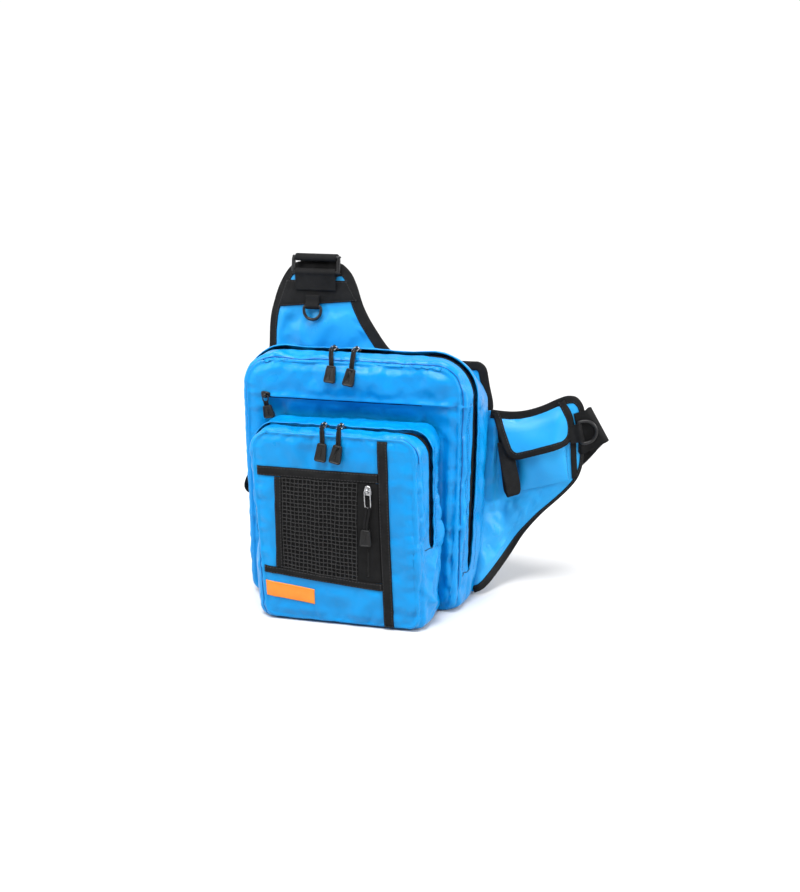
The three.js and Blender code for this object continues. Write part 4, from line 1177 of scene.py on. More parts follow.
def body_zip(name, table, zip_line, right, node):
    """Zip that runs up one side of a body, over its top and down the other side"""
    side = np.concatenate([np.linspace(1, 2, 60), 2 + np.linspace(0, 1, 24)[1:]])
    top = np.linspace(1, -1, 32)[1:-1]
    q = np.concatenate([side, np.full(len(top), 3.0), side[::-1][1:]])
    u = np.concatenate([np.ones(len(side)), top, -np.ones(len(side) - 1)])
    x, z = outline(table, q, u, zip_line["y"], ZIP_INSET)
    rows = np.column_stack([xyz(x, zip_line["y"], z), zip_gap(table, zip_line, right, q, u)])
    rows = even(rows[z > zip_line["end"] - 1], 4.0)
    line = rows[:, :3]
    across = same((0, 1, 0), line)
    out = np.cross(across, along_of(line))
    piece(name, zip_tape(line, across, out, np.maximum(rows[:, 3], 1.2)), ZIP_TAPE, [node])
    piece(f"{name}_teeth", zip_teeth(line, across, out), TEETH)


def welt_zip():
    path = xyz(lined(WELT["left"], WELT["right"], 4.0), WELT["y"], WELT["z"])
    tape = zip_tape(path, same((0, 0, 1), path), same((0, -1, 0), path), WELT["gap"])
    piece("welt_zip", tape, ZIP_TAPE, ["welt_zipper"])


# Front of the pocket
BAND = {
    "left": -86, "base_left": -80, "right": 48.5, "top_low": 164.5, "top_high": 175,
    "low_left": 63, "low_right": 52.5, "wide": 8.2, "thick": 1.4,
}
NET = {
    "edge": -66, "left": -57.7, "right": 27.7, "top": 164, "across": 18, "up": 23,
    "under": 1.5, "out": 1.15, "zip": 40, "zip_low": 61, "zip_high": 162,
}
NET_TAPE, LABEL_THICK = 0.8, 0.9
LABEL_BOX = ((-78, 27.5), (-22, 22.5), (-79, 45), (-22, 39.5))


def low_edge(x):
    return mix(BAND["low_left"], BAND["low_right"], (x - BAND["left"]) / (BAND["right"] - BAND["left"]))


def tape_box(left, right, low, high):
    """Corners of a tape; low and high give the height of its edges at a place across"""
    return ((left, low(left)), (right, low(right)), (left, high(left)), (right, high(right)))


def level(z):
    return lambda x: z


def slanting(up):
    """An edge that runs along the lower band"""
    return lambda x: low_edge(x) + up


def to_upright(box):
    """The same box, drawn out on the right to the upright band"""
    (x0, z0), (x1, z1) = UPRIGHT[0], UPRIGHT[2]
    ends = [(mix(x0, x1, (z - z0) / (z1 - z0)) - 0.1, z) for _, z in (box[1], box[3])]
    return (box[0], ends[0], box[2], ends[1])


def net_strands(surface, box):
    """Threads that pass over and under each other"""
    def strand(start, end, count, phase, sideways, seed):
        at = np.arange(4 * count + 1)
        sway = 0.2 * np.sin(0.31 * at + 2.1 * seed) + 0.3 * np.sin(0.11 * at + 0.9 * seed)
        line = mix(start, end, np.linspace(0, 1, len(at))[:, None]) + np.outer(sway, sideways)
        wave = 0.45 * np.cos(at * math.pi / 4 + math.pi * phase)
        path = surface.before(line, NET["out"] + wave)
        along = along_of(path)
        side = unit(np.cross(along, (0.0, -1.0, 0.0)))
        return sweep(path, side, np.cross(side, along), circle(6, 0.5, 0.4))

    ll, lr, hl, hr = [np.array(c, float) for c in box]
    across, up = [np.linspace(0.01, 0.99, NET[k] + 1) for k in ("across", "up")]
    upright = [strand(mix(ll, lr, t), mix(hl, hr, t), NET["up"], n % 2, (1, 0), n)
               for n, t in enumerate(across)]
    flat = [strand(mix(ll, hl, t), mix(lr, hr, t), NET["across"], 1 + n % 2, (0, 1), 3 * n)
            for n, t in enumerate(up)]
    return total(upright + flat)


def pocket_trim(surface):
    right, under = BAND["right"], NET["under"]
    net_low, net_top = slanting(LIFT), level(NET["top"])
    top = tape_box(BAND["left"], right, level(BAND["top_low"]), level(BAND["top_high"]))
    base = tape_box(BAND["base_left"], right, slanting(-BAND["wide"]), low_edge)
    bands = {
        "band_top": to_upright(top),
        "band_bottom": to_upright(base),
        "band_upright": UPRIGHT,
        "net_edge": tape_box(NET["edge"], NET["left"] - LIFT, net_low, net_top),
    }
    for name, box in bands.items():
        piece(f"{name}_tape", face_sheet(surface, box, BAND["thick"]), BINDING, [name])
    sewn = [face_stitches(surface, box, LIFT + BAND["thick"]) for box in bands.values()]
    piece("band_stitches", total(sewn), BLACK_THREAD)
    backing = tape_box(NET["left"] - under, right - 1, slanting(-under), level(NET["top"] + under))
    piece("net_backing", face_sheet(surface, backing, 0.3, step=3.0), BACKING)
    net = tape_box(NET["left"], NET["right"], net_low, net_top)
    piece("net_threads", net_strands(surface, net), NET_THREAD, ["net_panel"])
    tape = to_upright(tape_box(NET["right"] + LIFT, right, net_low, net_top))
    piece("net_zip_tape", face_sheet(surface, tape, NET_TAPE), ZIP_TAPE, ["net_zipper"])
    line = even([(NET["zip"], NET["zip_low"]), (NET["zip"], NET["zip_high"])], 3.0)
    path = surface.before(line, LIFT + NET_TAPE)
    teeth = zip_teeth(path, same((1, 0, 0), path), same((0, -1, 0), path))
    piece("net_zip_teeth", teeth, TEETH)
    piece("plain_label", face_sheet(surface, LABEL_BOX, LABEL_THICK), LABEL, ["label_patch"])
    sewn = face_stitches(surface, LABEL_BOX, LIFT + LABEL_THICK)
    piece("label_stitches", sewn, ORANGE_THREAD)


# Padded panels: half the thickness in the middle, and how far from the edge it is reached
YOKE_PAD, WING_PAD, BACK_PAD = (4, 14), (4, 17), (3.5, 14)
PAD_SWELL = {"high": 2.0, "size": 30, "seed": 5.2}
TUCK = 11


def pad_height(pad):
    """Half the thickness of a pad by the distance from its edge"""
    return lambda distance: mix(PAD_EDGE, pad[0], smooth(distance / pad[1]))


def padded_panel(name, edges, depth, pad, step, nodes, loose, creases=()):
    """A padded panel between two edges, row by row as x and z of both; it bulges where it is loose"""
    across = np.linalg.norm(edges[:, 2:] - edges[:, :2], axis=1)
    count = int(across.max() / step)
    c = np.concatenate([[0, 0.2 / count], np.linspace(0, 1, count + 1)[1:-1], [1 - 0.2 / count, 1]])
    place = mix(edges[:, None, :2], edges[:, None, 2:], c[None, :, None])
    x, z = place[..., 0], place[..., 1]
    up = length_of((edges[:, :2] + edges[:, 2:]) / 2)
    loop = np.vstack([place[0], place[1:, -1], place[-1, -2::-1], place[-2:0:-1, 0]])
    loop = even(looped(loop), 1.0)
    rim = np.array([np.linalg.norm(loop[None] - row[:, None], axis=-1).min(axis=1) for row in place])
    rise, y = pad_height(pad)(rim), depth(x, z)
    shape = strip(xyz(x, y - rise, z), xyz(x, y + rise, z), (c * across.max(), up))
    made = mesh_object(name, shape, [PAD_BLUE_PAINTED_LIGHT])
    face_outward(made)
    held = (rim < 12) | (loose(x, z) < 0.01)
    pins = np.flatnonzero(np.concatenate([held.ravel(), np.ones(held.size, bool)]))
    billow(made, pins, growth=0.04, pressure=1.6, cap=4)
    refined(made)

    def share(points):
        edge = xyz(loop[:, 0], 0, loop[:, 1])
        return smooth((nearest(points * (1, 0, 1), edge)[1] - 11) / 12) * loose(points[:, 0], points[:, 2])

    slack(made, share, **PAD_SWELL)
    rows = [(x0, depth(x0, z0) - pad[0], z0, x1, depth(x1, z1) - pad[0], z1, *size)
            for x0, z0, x1, z1, *size in creases]
    folds(made, rows, share)
    settle(made, nodes)
    return made


# Section of an edge tape: share of its reach, shift inwards and height on the pad, then its hidden side
TAPE_OVER = np.array([
    (1, 0, 0.1), (1, -0.3, 0.6), (1, -0.9, TAPE), (0.66, 0, TAPE),
    (0.33, 0, TAPE), (0, 1.2, TAPE), (0, 0.1, 0.85),
])
TAPE_UNDER = np.array([(1, -0.2), (0.5, 0), (0, 0.6)])
TAPE_NOSE = (-0.7, -1.0, -0.7)


def right_of(path):
    """Directions to the right of a path given as x and z"""
    along = along_of(path)
    return np.column_stack([along[:, 1], -along[:, 0]])


def edge_binding(path, reach, depth, height):
    """Tape folded over the edge of a pad, along a path given as x and z with the pad on its right"""
    reach = np.broadcast_to(reach, len(path))[:, None]
    over = reach * TAPE_OVER[:, 0] + TAPE_OVER[:, 1]
    under = reach * TAPE_UNDER[:, 0] + TAPE_UNDER[:, 1]
    high, low = height(over) + TAPE_OVER[:, 2], height(under) + SEAT
    bend = 0.6 * high[:, -1:]
    d = np.hstack([over, same(TAPE_NOSE, path), over[:, ::-1], under, under[:, ::-1]])
    y = np.hstack([-high, -bend, 0 * bend, bend, high[:, ::-1], low, -low[:, ::-1]])
    place = path[:, None] + right_of(path)[:, None] * d[..., None]
    x, z = place[..., 0], place[..., 1]
    return tube(xyz(x, depth(x, z) + y, z))


def binding_stitches(path, reach, depth, height):
    d = np.broadcast_to(reach, len(path)) - 1.6
    x, z = (path + right_of(path) * d[:, None]).T
    return stitches(xyz(x, depth(x, z) - height(d) - TAPE, z), (0, -1, 0))


def bound(name, row, path, reach, depth, height, node):
    """Edge tape of a pad and its row of stitches"""
    piece(name, edge_binding(path, reach, depth, height), BINDING, [node])
    piece(row, binding_stitches(path, reach, depth, height), BLACK_THREAD)


def yoke_depth(x, z):
    return BACK_DEPTH + YOKE_LEAN * np.maximum(0, z - YOKE_BASE) ** 2


def yoke_turn(z):
    return turn("X", -math.atan(2 * YOKE_LEAN * (z - YOKE_BASE)))


def wing_depth(x, z):
    w = WING_DEPTH
    near = w["near"] - w["tuck"] * smooth(1 - z / w["tuck_top"])
    far = w["far"] + w["sweep"] * np.maximum(0, x - w["sweep_from"]) ** 2
    return mix(near, far, smooth((x - w["seam"]) / w["blend"]))


def back_depth(x, z):
    return np.full(np.shape(x), BACK_DEPTH)


def both_edges(table):
    """Rows of height, left and right as x and z of both edges"""
    return np.column_stack([table[:, 1], table[:, 0], table[:, 2], table[:, 0]])


# Shoulder yoke
PATCH = ((-121, 320.5), (-24, 330), (-111, 352), (-37, 353))
PATCH_THICK = 1.6
YOKE_HEAD = (-73, 372)
# At the head of the yoke the edge tape widens by head from head_from up, so black tape covers the pad inside
# the ring: painted shade, for the pad there lies in deep shade
YOKE_TAPE = {"wide": 9, "head": 9, "head_from": 364, "right": 2, "right_from": -60, "right_top": 352}
RING_Z = 361.0
RING_HEAD = np.array([-73.5, yoke_depth(0, RING_Z), RING_Z])
RING_TURN = yoke_turn(RING_Z)
RING = {"half": 27.2, "tall": 17, "corner": 2.5, "out": -9, "thick": 2.4, "wrap": 3.6, "web": 24.6}
SHOULDER_D = {"half": 10.3, "leg": 5, "tab": 8, "at": np.array([-76.4, 47.091, 323.0])}
D_THICK, D_TAB_THICK = 1.8, 1.2


def about(z, degrees):
    """Places of webbing round a bar of the ring at height z"""
    a = np.radians(degrees)
    return np.column_stack([RING["out"] + RING["wrap"] * np.cos(a), z + RING["wrap"] * np.sin(a)])


def d_ring(d, turned, names, nodes, body):
    """A D-ring and its webbing tab"""
    half, leg = d["half"], d["leg"]
    a = np.arange(1, 8) * math.pi / 8
    right = [(half - 2.4, 0), (half - 0.5, -0.9), (half, -2.8), (half, -leg)]
    loop = [(0, 0), *right, *zip(half * np.cos(a), -leg - half * np.sin(a)), *mirrored(right)]
    ring = ring_tube(loop, circle(12, D_THICK), d["at"], turned, 0.8)
    piece(names[0], ring, PLASTIC, [nodes[0]], body)
    a = np.radians(np.arange(60, -221, -40))
    line = [(1.6, 13), *zip(2.75 * np.cos(a), 2.75 * np.sin(a)), (-0.2, 6), (-0.1, 13)]
    tab = ribbon(line, d["tab"], D_TAB_THICK, d["at"], turned)
    piece(names[1], tab, WEBBING, [nodes[1]])


def strap_ring():
    """The ring at the head of the yoke, and the webbing round both of its bars"""
    half, tall, r, web = RING["half"], RING["tall"], RING["corner"], RING["web"]
    quarter = np.radians([0, 30, 60, 90])
    corner = np.column_stack([half - r + r * np.cos(quarter), tall - r + r * np.sin(quarter)])
    upper = np.vstack([corner, corner[::-1] * (-1, 1)])
    lower = np.column_stack([-upper[:, 0], tall - upper[:, 1]])
    sides = np.vstack([[(half, 6), (half, 11)], upper, [(-half, 11), (-half, 6)], lower])
    origin = RING_HEAD + RING_TURN @ (0, RING["out"], 0)
    ring = ring_tube(sides, circle(14, RING["thick"], RING["thick"] * 0.92), origin, RING_TURN)
    piece("strap_ring", ring, PLASTIC, ["square_ring"])
    low_line = np.vstack([[(-6.9, -21), (-8.4, -12)], about(0, np.arange(240, -31, -30)), [(-5.9, -7.5)]])
    rise = [(8, 1), (8, 8), (7, 14), (3.5, 18.6), (-2.5, 20.6)]
    top_line = np.vstack([rise, about(tall, [80, 120, 150, 180, 210, 240, 270, 300])])
    for name, line, node in (("ring_webbing", low_line, "ring_loop"), ("strap_end", top_line, "strap_loop")):
        loop = ribbon(line, web, WEB_THICK, RING_HEAD, RING_TURN)
        piece(name, loop, WEBBING, [node])


def yoke():
    edges = both_edges(curve(YOKE, 6.0))

    def loose(x, z):
        return smooth((PATCH[0][1] - 3 - z) / 14)

    rows = np.vstack([edges[:1] + (1.5, -TUCK, -1.5, -TUCK), edges])
    made = padded_panel("yoke_pad", rows, yoke_depth, YOKE_PAD, 5.0, ["shoulder_wing"], loose)
    path = np.vstack([edges[:, :2], [YOKE_HEAD], edges[::-1, 2:]])
    path = curve(even(path, 9.0), 3.0)
    x, z = path.T
    tape = YOKE_TAPE
    # widened at the head: black tape as painted shade inside the ring
    reach = tape["wide"] + tape["head"] * smooth((z - tape["head_from"]) / 6)
    right = smooth((x - tape["right_from"]) / 10) * smooth((tape["right_top"] - z) / 12)
    reach = reach + tape["right"] * right
    bound("yoke_binding", "yoke_stitches", path, reach, yoke_depth, pad_height(YOKE_PAD), "shoulder_binding")
    surface = Surface(made)
    patch = face_sheet(surface, PATCH, PATCH_THICK)
    piece("yoke_patch", patch, WEBBING, ["shoulder_patch"])
    sewn = face_stitches(surface, PATCH, LIFT + PATCH_THICK)
    piece("patch_stitches", sewn, BLACK_THREAD)
    strap_ring()
    names, nodes = ("yoke_d_ring", "yoke_d_tab"), ("d_ring_shoulder", "d_tab_shoulder")
    d_ring(SHOULDER_D, yoke_turn(SHOULDER_D["at"][2]), names, nodes, "shoulder_d")


# Hip wing
POUCH = {"box": ((171, 118), (226.5, 133), (167, 184), (220, 191)), "wide": 56, "tall": 64, "bulge": 8}
FLAP = {
    "base": ((162, 156.5), (230.3, 177.2)), "top": (141, 221), "under": 7.6, "bow": 4.0,
    "wide": 78, "tall": 48, "corner": 13, "thick": 1.6, "out": 3.9, "stand": 11.5, "lip": 3.2,
    "top_from": 150, "top_over": 75, "fall": 0.7, "fall_from": 209, "fall_over": 18,
}
FLAP_TAPE = {"wide": 7.4, "loss": 1.4, "from": 215, "over": 12}
WING_TAPE = (
    (216.5, 222), (222.3, 215.7), (226.1, 206.9), (227.8, 198.8), (229.1, 190.3), (230.6, 175.5),
    (231.5, 159.2), (232.8, 140.4), (233.3, 134.5),
)
WING_TAPE_HALF = 3.2

# Part of the wing that pouch and flap hide, where it lies still; its lower edge climbs to the right
STILL = {"left": 149, "right": 243, "base": 106, "climb": 0.27, "from": 171, "top": 222}

# Reach of the edge tape of the wing: place across or height, reach
UPPER_REACH = ((136, 8.6), (205, 8.6), (228, 7.6), (238, 5.5), (241, 5.0))
LOWER_REACH = ((15, 7.8), (45, 7.0), (75, 4.6), (100, 3.2), (135, 3.0), (175, 3.0))
WING_END = (241, 184)
TIP = {"front_top": (230, 211), "front_base": (240, 163), "fold_top": (244, 216), "fold_base": (266, 178),
       "back_way": (-0.665, -0.746), "out_way": (0.866, 0.5), "apart": 4.2, "wide": 46}
TIP_AT = (250.0, 195.0)
TIP_DEPTH = float(wing_depth(*TIP_AT))
HIP_D = {"half": 12.6, "leg": 6, "tab": 10.5, "at": np.array([238.5, 54.3, 190.0])}
HIP_BAR, HIP_FACE = (-0.21, 0, 0.978), (0.2, -0.98, 0)
TOOL = {
    "x": 155, "z": 177, "out": 6.4, "half": 9, "thick": 2, "lean": -0.14,
    "twist": 0.6, "long": 60, "drift": 0.13, "forward": 9, "narrower": 0.32,
}
TOOL_LINE = (
    (0.9, 15), (0.5, 8), (0, 0), (-2.5, -12), (-6, -30), (-8.5, -48), (-10.5, -58), (-13.5, -61),
    (-16.5, -58), (-17, -45), (-13.5, -30), (-9.5, -18), (-7.5, -8), (-6.5, 0),
)


def flap_top(x):
    """Upper edge of the flap, just under the edge tape of the wing"""
    return np.interp(x, WING[:, 2], WING[:, 3]) - FLAP["under"]


def flap_place(u, v):
    """Places on the flap as x and z, from the low left corner"""
    low = mix(np.array(FLAP["base"][0], float), np.array(FLAP["base"][1], float), u[..., None])
    top_x = mix(FLAP["top"][0], FLAP["top"][1], u)
    x = mix(low[..., 0], top_x, v) + FLAP["bow"] * u**2 * np.sin(math.pi * v**1.2)
    return np.stack([x, mix(low[..., 1], flap_top(top_x), v)], -1)


def flap_depth(x, z):
    """Depth of the middle of the flap: it stands out over the pouch and comes down at its right edge"""
    (x0, z0), (x1, z1) = FLAP["base"]
    low = mix(z0, z1, (x - x0) / (x1 - x0))
    along = clamp((x - FLAP["top_from"]) / FLAP["top_over"])
    high = flap_top(mix(FLAP["top"][0], FLAP["top"][1], along))
    v = clamp((z - low) / (high - low))
    lift = FLAP["lip"] * smooth((1 - v) / 0.25) + FLAP["stand"] * np.sin(math.pi / 2 * (1 - v))
    fall = FLAP["fall"] * smooth((x - FLAP["fall_from"]) / FLAP["fall_over"])
    return wing_depth(x, z) - FLAP["out"] - lift * (1 - fall)


def face_strip(surface, line, half, thick):
    """A tape of even width laid on the front of a surface, along a line given as x and z"""
    line = curve(line, 3.0)
    us, vs = edge_steps(2 * half, 2.0), length_of(line)
    place = line[:, None] + right_of(line)[:, None] * (us - half)[None, :, None]
    x, z = place[..., 0], place[..., 1]
    depth = surface.front(x, z) - LIFT
    rise = rounded(np.minimum(us, 2 * half - us), thick)
    return strip(xyz(x, depth - rise, z), xyz(x, depth + SEAT, z), (us, vs))


def flat_size(grid):
    """Greatest length of the rows and of the columns of a sheet, and its area, in metres"""
    sizes = [max(length_of(line)[-1] for line in lines) for lines in (grid, grid.swapaxes(0, 1))]
    sides = np.diff(grid[:-1], axis=1), np.diff(grid[:, :-1], axis=0)
    area = np.linalg.norm(np.cross(*sides), axis=-1).sum()
    return tuple(float(s) * MM for s in sizes), float(area) * MM**2


def wing_flap():
    wide, tall, r = FLAP["wide"], FLAP["tall"], FLAP["corner"]
    us, vs = edge_steps(wide, 4.0), edge_steps(tall, 4.0)
    trim = (r - np.sqrt(np.maximum(r**2 - np.maximum(r - vs, 0) ** 2, 0)))[:, None] / wide
    v = np.broadcast_to(vs[:, None] / tall, (len(vs), len(us)))
    place = flap_place(mix(trim, 1 - trim, us[None, :] / wide), v)
    x, z = place[..., 0], place[..., 1]
    wave = 0.9 * np.sin(x / 9 + z / 14) * np.sin(math.pi * v)
    grid = xyz(x, flap_depth(x, z) - wave, z)
    made = piece("pouch_flap", thick_sheet(grid, FLAP["thick"]), PAD_BLUE_PAINTED_LIGHT, ["wing_flap"])
    size, area = flat_size(grid)
    bend = np.radians(np.linspace(0, 90, 9))
    right = np.column_stack([wide - r + r * np.cos(bend), r - r * np.sin(bend)])
    left = np.column_stack([r - r * np.sin(bend), r - r * np.cos(bend)])
    edge = even(np.vstack([[(wide, tall + 5)], right, left, [(0, tall + 5)]]), 2.5)
    path = flap_place(edge[:, 0] / wide, edge[:, 1] / tall)
    narrow = smooth((path[:, 0] - FLAP_TAPE["from"]) / FLAP_TAPE["over"])
    reach = FLAP_TAPE["wide"] - FLAP_TAPE["loss"] * narrow

    def height(d):
        return np.full(np.shape(d), FLAP["thick"] / 2 + 0.1)

    bound("flap_edge", "flap_stitches", path, reach, flap_depth, height, "flap_binding")


def wing_pouch():
    us, vs = [edge_steps(POUCH[k], 4.0) / POUCH[k] for k in ("wide", "tall")]
    x, z = four_sided(POUCH["box"], us, vs)
    bulge = POUCH["bulge"] * np.sin(math.pi * us)[None, :] ** 0.6
    bulge = bulge * np.sin(math.pi / 2 * clamp(vs / 0.55))[:, None]
    crease = 0.5 * np.sin(x / 4.5 + z / 11) * smooth(bulge / 6)
    y = wing_depth(x, z) - WING_PAD[0] - LIFT - bulge - crease
    flat = (us * POUCH["wide"], vs * POUCH["tall"])
    piece("pouch", strip(xyz(x, y - 1.5, z), xyz(x, y, z), flat), PAD_BLUE_PAINTED_LIGHT, ["wing_pocket"])


def twisted(points, origin):
    """The hanging loop turned a little about its own length, more towards its round lower end"""
    low = clamp((origin[2] - points[:, 2]) / TOOL["long"])
    angle = TOOL["twist"] * smooth(low)
    x, y = origin[0] + TOOL["drift"] * TOOL["long"] * low, origin[1] - TOOL["forward"] * low
    dx, dy = points[:, 0] - x, points[:, 1] - y
    dx = dx * (1 - TOOL["narrower"] * clamp((low - 0.88) / 0.14) ** 2)
    x, y = x + dx * np.cos(angle) - dy * np.sin(angle), y + dx * np.sin(angle) + dy * np.cos(angle)
    return xyz(x, y, points[:, 2])


def tool_webbing():
    origin = (TOOL["x"], float(wing_depth(TOOL["x"], TOOL["z"])) - TOOL["out"], TOOL["z"])
    loop = ribbon(TOOL_LINE, TOOL["half"], TOOL["thick"], origin, turn("Y", TOOL["lean"]))
    loop.points = [tuple(p) for p in twisted(np.array(loop.points), origin)]
    piece("tool_webbing", loop, WEBBING, ["tool_loop"])


def wing():
    rows = curve(WING, 6.0)

    def loose(x, z):
        above = z - STILL["base"] - STILL["climb"] * (x - STILL["from"])
        still = smooth((x - STILL["left"]) / 6) * smooth((STILL["right"] - x) / 6) * smooth(above / 6)
        return 1 - still * smooth((STILL["top"] - z) / 6)

    edges = np.vstack([rows[:1] - (TUCK, 0, TUCK, 0), rows])
    made = padded_panel("wing_pad", edges, wing_depth, WING_PAD, 5.0, ["hip_wing"], loose, WING_FOLDS)
    path = np.vstack([rows[:, 2:], [WING_END], rows[::-1, :2]])
    path = curve(even(path, 9.0), 3.0)
    x, z = path.T
    upper, lower = np.interp(x, *np.transpose(UPPER_REACH)), np.interp(z, *np.transpose(LOWER_REACH))
    reach = np.where(np.arange(len(path)) < np.argmax(x), upper, lower)
    bound("wing_binding", "wing_stitches", path, reach, wing_depth, pad_height(WING_PAD), "hip_binding")
    wing_pouch()
    wing_flap()
    tape = face_strip(Surface(made), WING_TAPE, WING_TAPE_HALF, 1.0)
    piece("wing_end_tape", tape, BINDING, ["wing_tape"])
    tool_webbing()


def tip():
    """Webbing that wraps the tip of the wing: front layer, fold, back layer"""
    top = np.array([TIP["front_top"], TIP["fold_top"]], float)
    base = np.array([TIP["front_base"], TIP["fold_base"]], float)
    out_way, back_way = np.array(TIP["out_way"]), np.array(TIP["back_way"])
    rows = []
    for t in (0, 0.5, 1):
        a, b = mix(top[0], top[1], t), mix(base[0], base[1], t)
        depths = [float(wing_depth(min(p[0], TIP_AT[0]), TIP_AT[1])) - TIP["apart"] for p in (a, b)]
        rows.append((a[0], depths[0], a[1], b[0], depths[1], b[1]))
    for degrees in (-60, -30, 0, 30, 60):
        bend = math.radians(degrees)
        y = TIP_DEPTH + TIP["apart"] * math.sin(bend)
        a, b = [p + out_way * TIP["apart"] * math.cos(bend) for p in (top[1], base[1])]
        rows.append((a[0], y, a[1], b[0], y, b[1]))
    for far in (0, 12, 24):
        a, b = [p + back_way * far for p in (top[1], base[1])]
        rows.append((a[0], TIP_DEPTH + TIP["apart"], a[1], b[0], TIP_DEPTH + TIP["apart"], b[1]))
    lines = curve(rows, 2.2)
    c = (edge_steps(TIP["wide"], 6.0) / TIP["wide"])[None, :, None]
    grid = mix(lines[:, None, :3], lines[:, None, 3:], c)
    piece("tip_strap", thick_sheet(grid, WEB_THICK), WEBBING, ["tip_webbing"])
    bar = unit(np.array(HIP_BAR))
    arm = unit(np.cross(HIP_FACE, bar))
    turned = np.column_stack([bar, np.cross(arm, bar), arm])
    d_ring(HIP_D, turned, ("hip_d_ring_plastic", "hip_d_webbing"), ("d_ring_hip", "d_tab_hip"), "hip_d")


# Back panel, strap and side loop
BACK_TAPE = (
    (29.8, 265.5), (80, 265.5), (113, 265.5), (120, 265.5), (126, 262), (129.5, 256), (132.5, 240),
    (137, 219), (136.5, 206),
)
BACK_REACH = 9.0
STRAP_TOP = {"x": -74.5, "yoke": 362.0, "behind": 10.6}
STRAP_LOW = {"x": 243.5, "z": 187.5, "behind": 2.2}
STRAP_BOW, STRAP_TURN = 27, 0.14
SIDE_HALF, SIDE_AT = 10, (-126.6, 12, 108)
SIDE_LINE = (
    (-7.6, 60), (-9.5, 42), (-14.5, 27), (-20.8, 13), (-22.4, 5), (-19.8, -0.5), (-14, -3), (-5.5, -2),
)


def back():
    def loose(x, z):
        return np.ones(np.shape(x))

    padded_panel("back_pad", both_edges(curve(BACK, 8.0)), back_depth, BACK_PAD, 7.0, ["back_panel"], loose)
    tape = edge_binding(curve(BACK_TAPE, 3.0), BACK_REACH, back_depth, pad_height(BACK_PAD))
    piece("back_edge", tape, BINDING, ["back_binding"])


def hanging(start, end, length, count):
    """Places at equal steps along a hanging line, as x and z"""
    h, v = end[0] - start[0], end[1] - start[1]
    goal = math.sqrt(length**2 - v**2) / h
    low, high = 1e-3, 20.0
    for _ in range(60):
        t = (low + high) / 2
        low, high = (t, high) if math.sinh(t) / t < goal else (low, t)
    a = h / (2 * t)
    lowest = start[0] + h / 2 - a * math.atanh(v / length)
    s = np.linspace(0, length, count) + a * math.sinh((start[0] - lowest) / a)
    x = lowest + a * np.arcsinh(s / a)
    return x, a * np.cosh((x - lowest) / a) - a * math.cosh((start[0] - lowest) / a) + start[1]


def shoulder_strap():
    start = (STRAP_TOP["x"], float(yoke_depth(0.0, STRAP_TOP["yoke"])) + STRAP_TOP["behind"], RING_Z)
    end = (STRAP_LOW["x"], TIP_DEPTH + TIP["apart"] + STRAP_LOW["behind"], STRAP_LOW["z"])
    x, z = hanging((start[0], start[2]), (end[0], end[2]), STRAP_LENGTH, 140)
    s = np.linspace(0, 1, len(x))
    roll = math.pi / 2 * np.sin(math.pi * s) ** 2
    path = xyz(x, mix(start[1], end[1], s) + STRAP_BOW * np.sin(roll), z)
    along = along_of(path)
    across = unit(np.cross(along, (0.0, 1.0, 0.0)))
    normal = np.cross(across, along)
    across = unit(mix(np.array([1.0, 0, 0]), across, smooth(s / STRAP_TURN)[:, None]))
    tip_x, tip_z = np.subtract(TIP["fold_top"], TIP["fold_base"])
    at_tip = smooth((s - 1 + STRAP_TURN) / STRAP_TURN)[:, None]
    across = unit(mix(across, unit(np.array([tip_x, 0, tip_z])), at_tip))
    wide = across * np.cos(roll)[:, None] + normal * np.sin(roll)[:, None]
    webbing = sweep(path, wide, np.cross(along, wide), flat_profile(WEB_HALF, WEB_THICK))
    piece("strap_webbing", webbing, WEBBING, ["strap"])


def side_webbing():
    loop = ribbon(SIDE_LINE, SIDE_HALF, WEB_THICK, SIDE_AT, turn("Z", -math.pi / 2))
    piece("side_webbing", loop, WEBBING, ["side_loop"])


# Zip pulls: slider place, way along the zip, way out, wire end, cord, grip end, way the grip faces
FLAT_WAY, UP, FORWARD = (1, 0, 0), (0, 0, 1), (0, -1, 0)
PULLS = {
    "main_a": (
        (-28, -22, 286.1), FLAT_WAY, UP, (-27, -35, 288.5),
        ((-24, -47, 284.5), (-20.6, -57, 280.2), (-20, -58.4, 276.2)),
        (-21.5, -63, 257.5), (0, -1, 0.2),
    ),
    "main_b": (
        (-2, -22, 286.1), FLAT_WAY, UP, (-1, -35, 288.5),
        ((1, -47, 284.5), (3, -57, 279.5), (2.8, -58.6, 274)),
        (-0.5, -63, 255), (0, -1, 0.2),
    ),
    "pocket_a": (
        (-19, -88, 213.9), FLAT_WAY, UP, (-17.5, -101, 216),
        ((-14, -113, 217.5), (-10.5, -122.6, 211.5), (-10, -124, 205.5)),
        (-12.5, -125.2, 185.5), (0, -1, 0.08),
    ),
    "pocket_b": (
        (0, -88, 213.9), FLAT_WAY, UP, (1.5, -101, 216),
        ((5, -113, 217.5), (7.5, -122.6, 211), (7.5, -124, 204.5)),
        (3.5, -125.2, 184.5), (0, -1, 0.08),
    ),
    "welt": (
        (-98, -53.9, 239), FLAT_WAY, (0, -1, -0.34), (-97.3, -57.8, 230.8),
        ((-97.1, -57.5, 229.2), (-96.9, -57, 228.2), (-96.7, -56.5, 227.2)),
        (-94.2, -54.4, 212.4), (0, -1, -0.12),
    ),
    "net": (
        (40, -123.35, 157), UP, FORWARD, (40.5, -126.2, 138.5),
        ((40, -126.6, 131), (38.6, -126.8, 122), (38, -126.7, 114.5)),
        (38, -126.7, 96), FORWARD,
    ),
}
SLIDER = {"long": 5.5, "wide": 4.0, "taper": 0.16, "eye": 4.0}
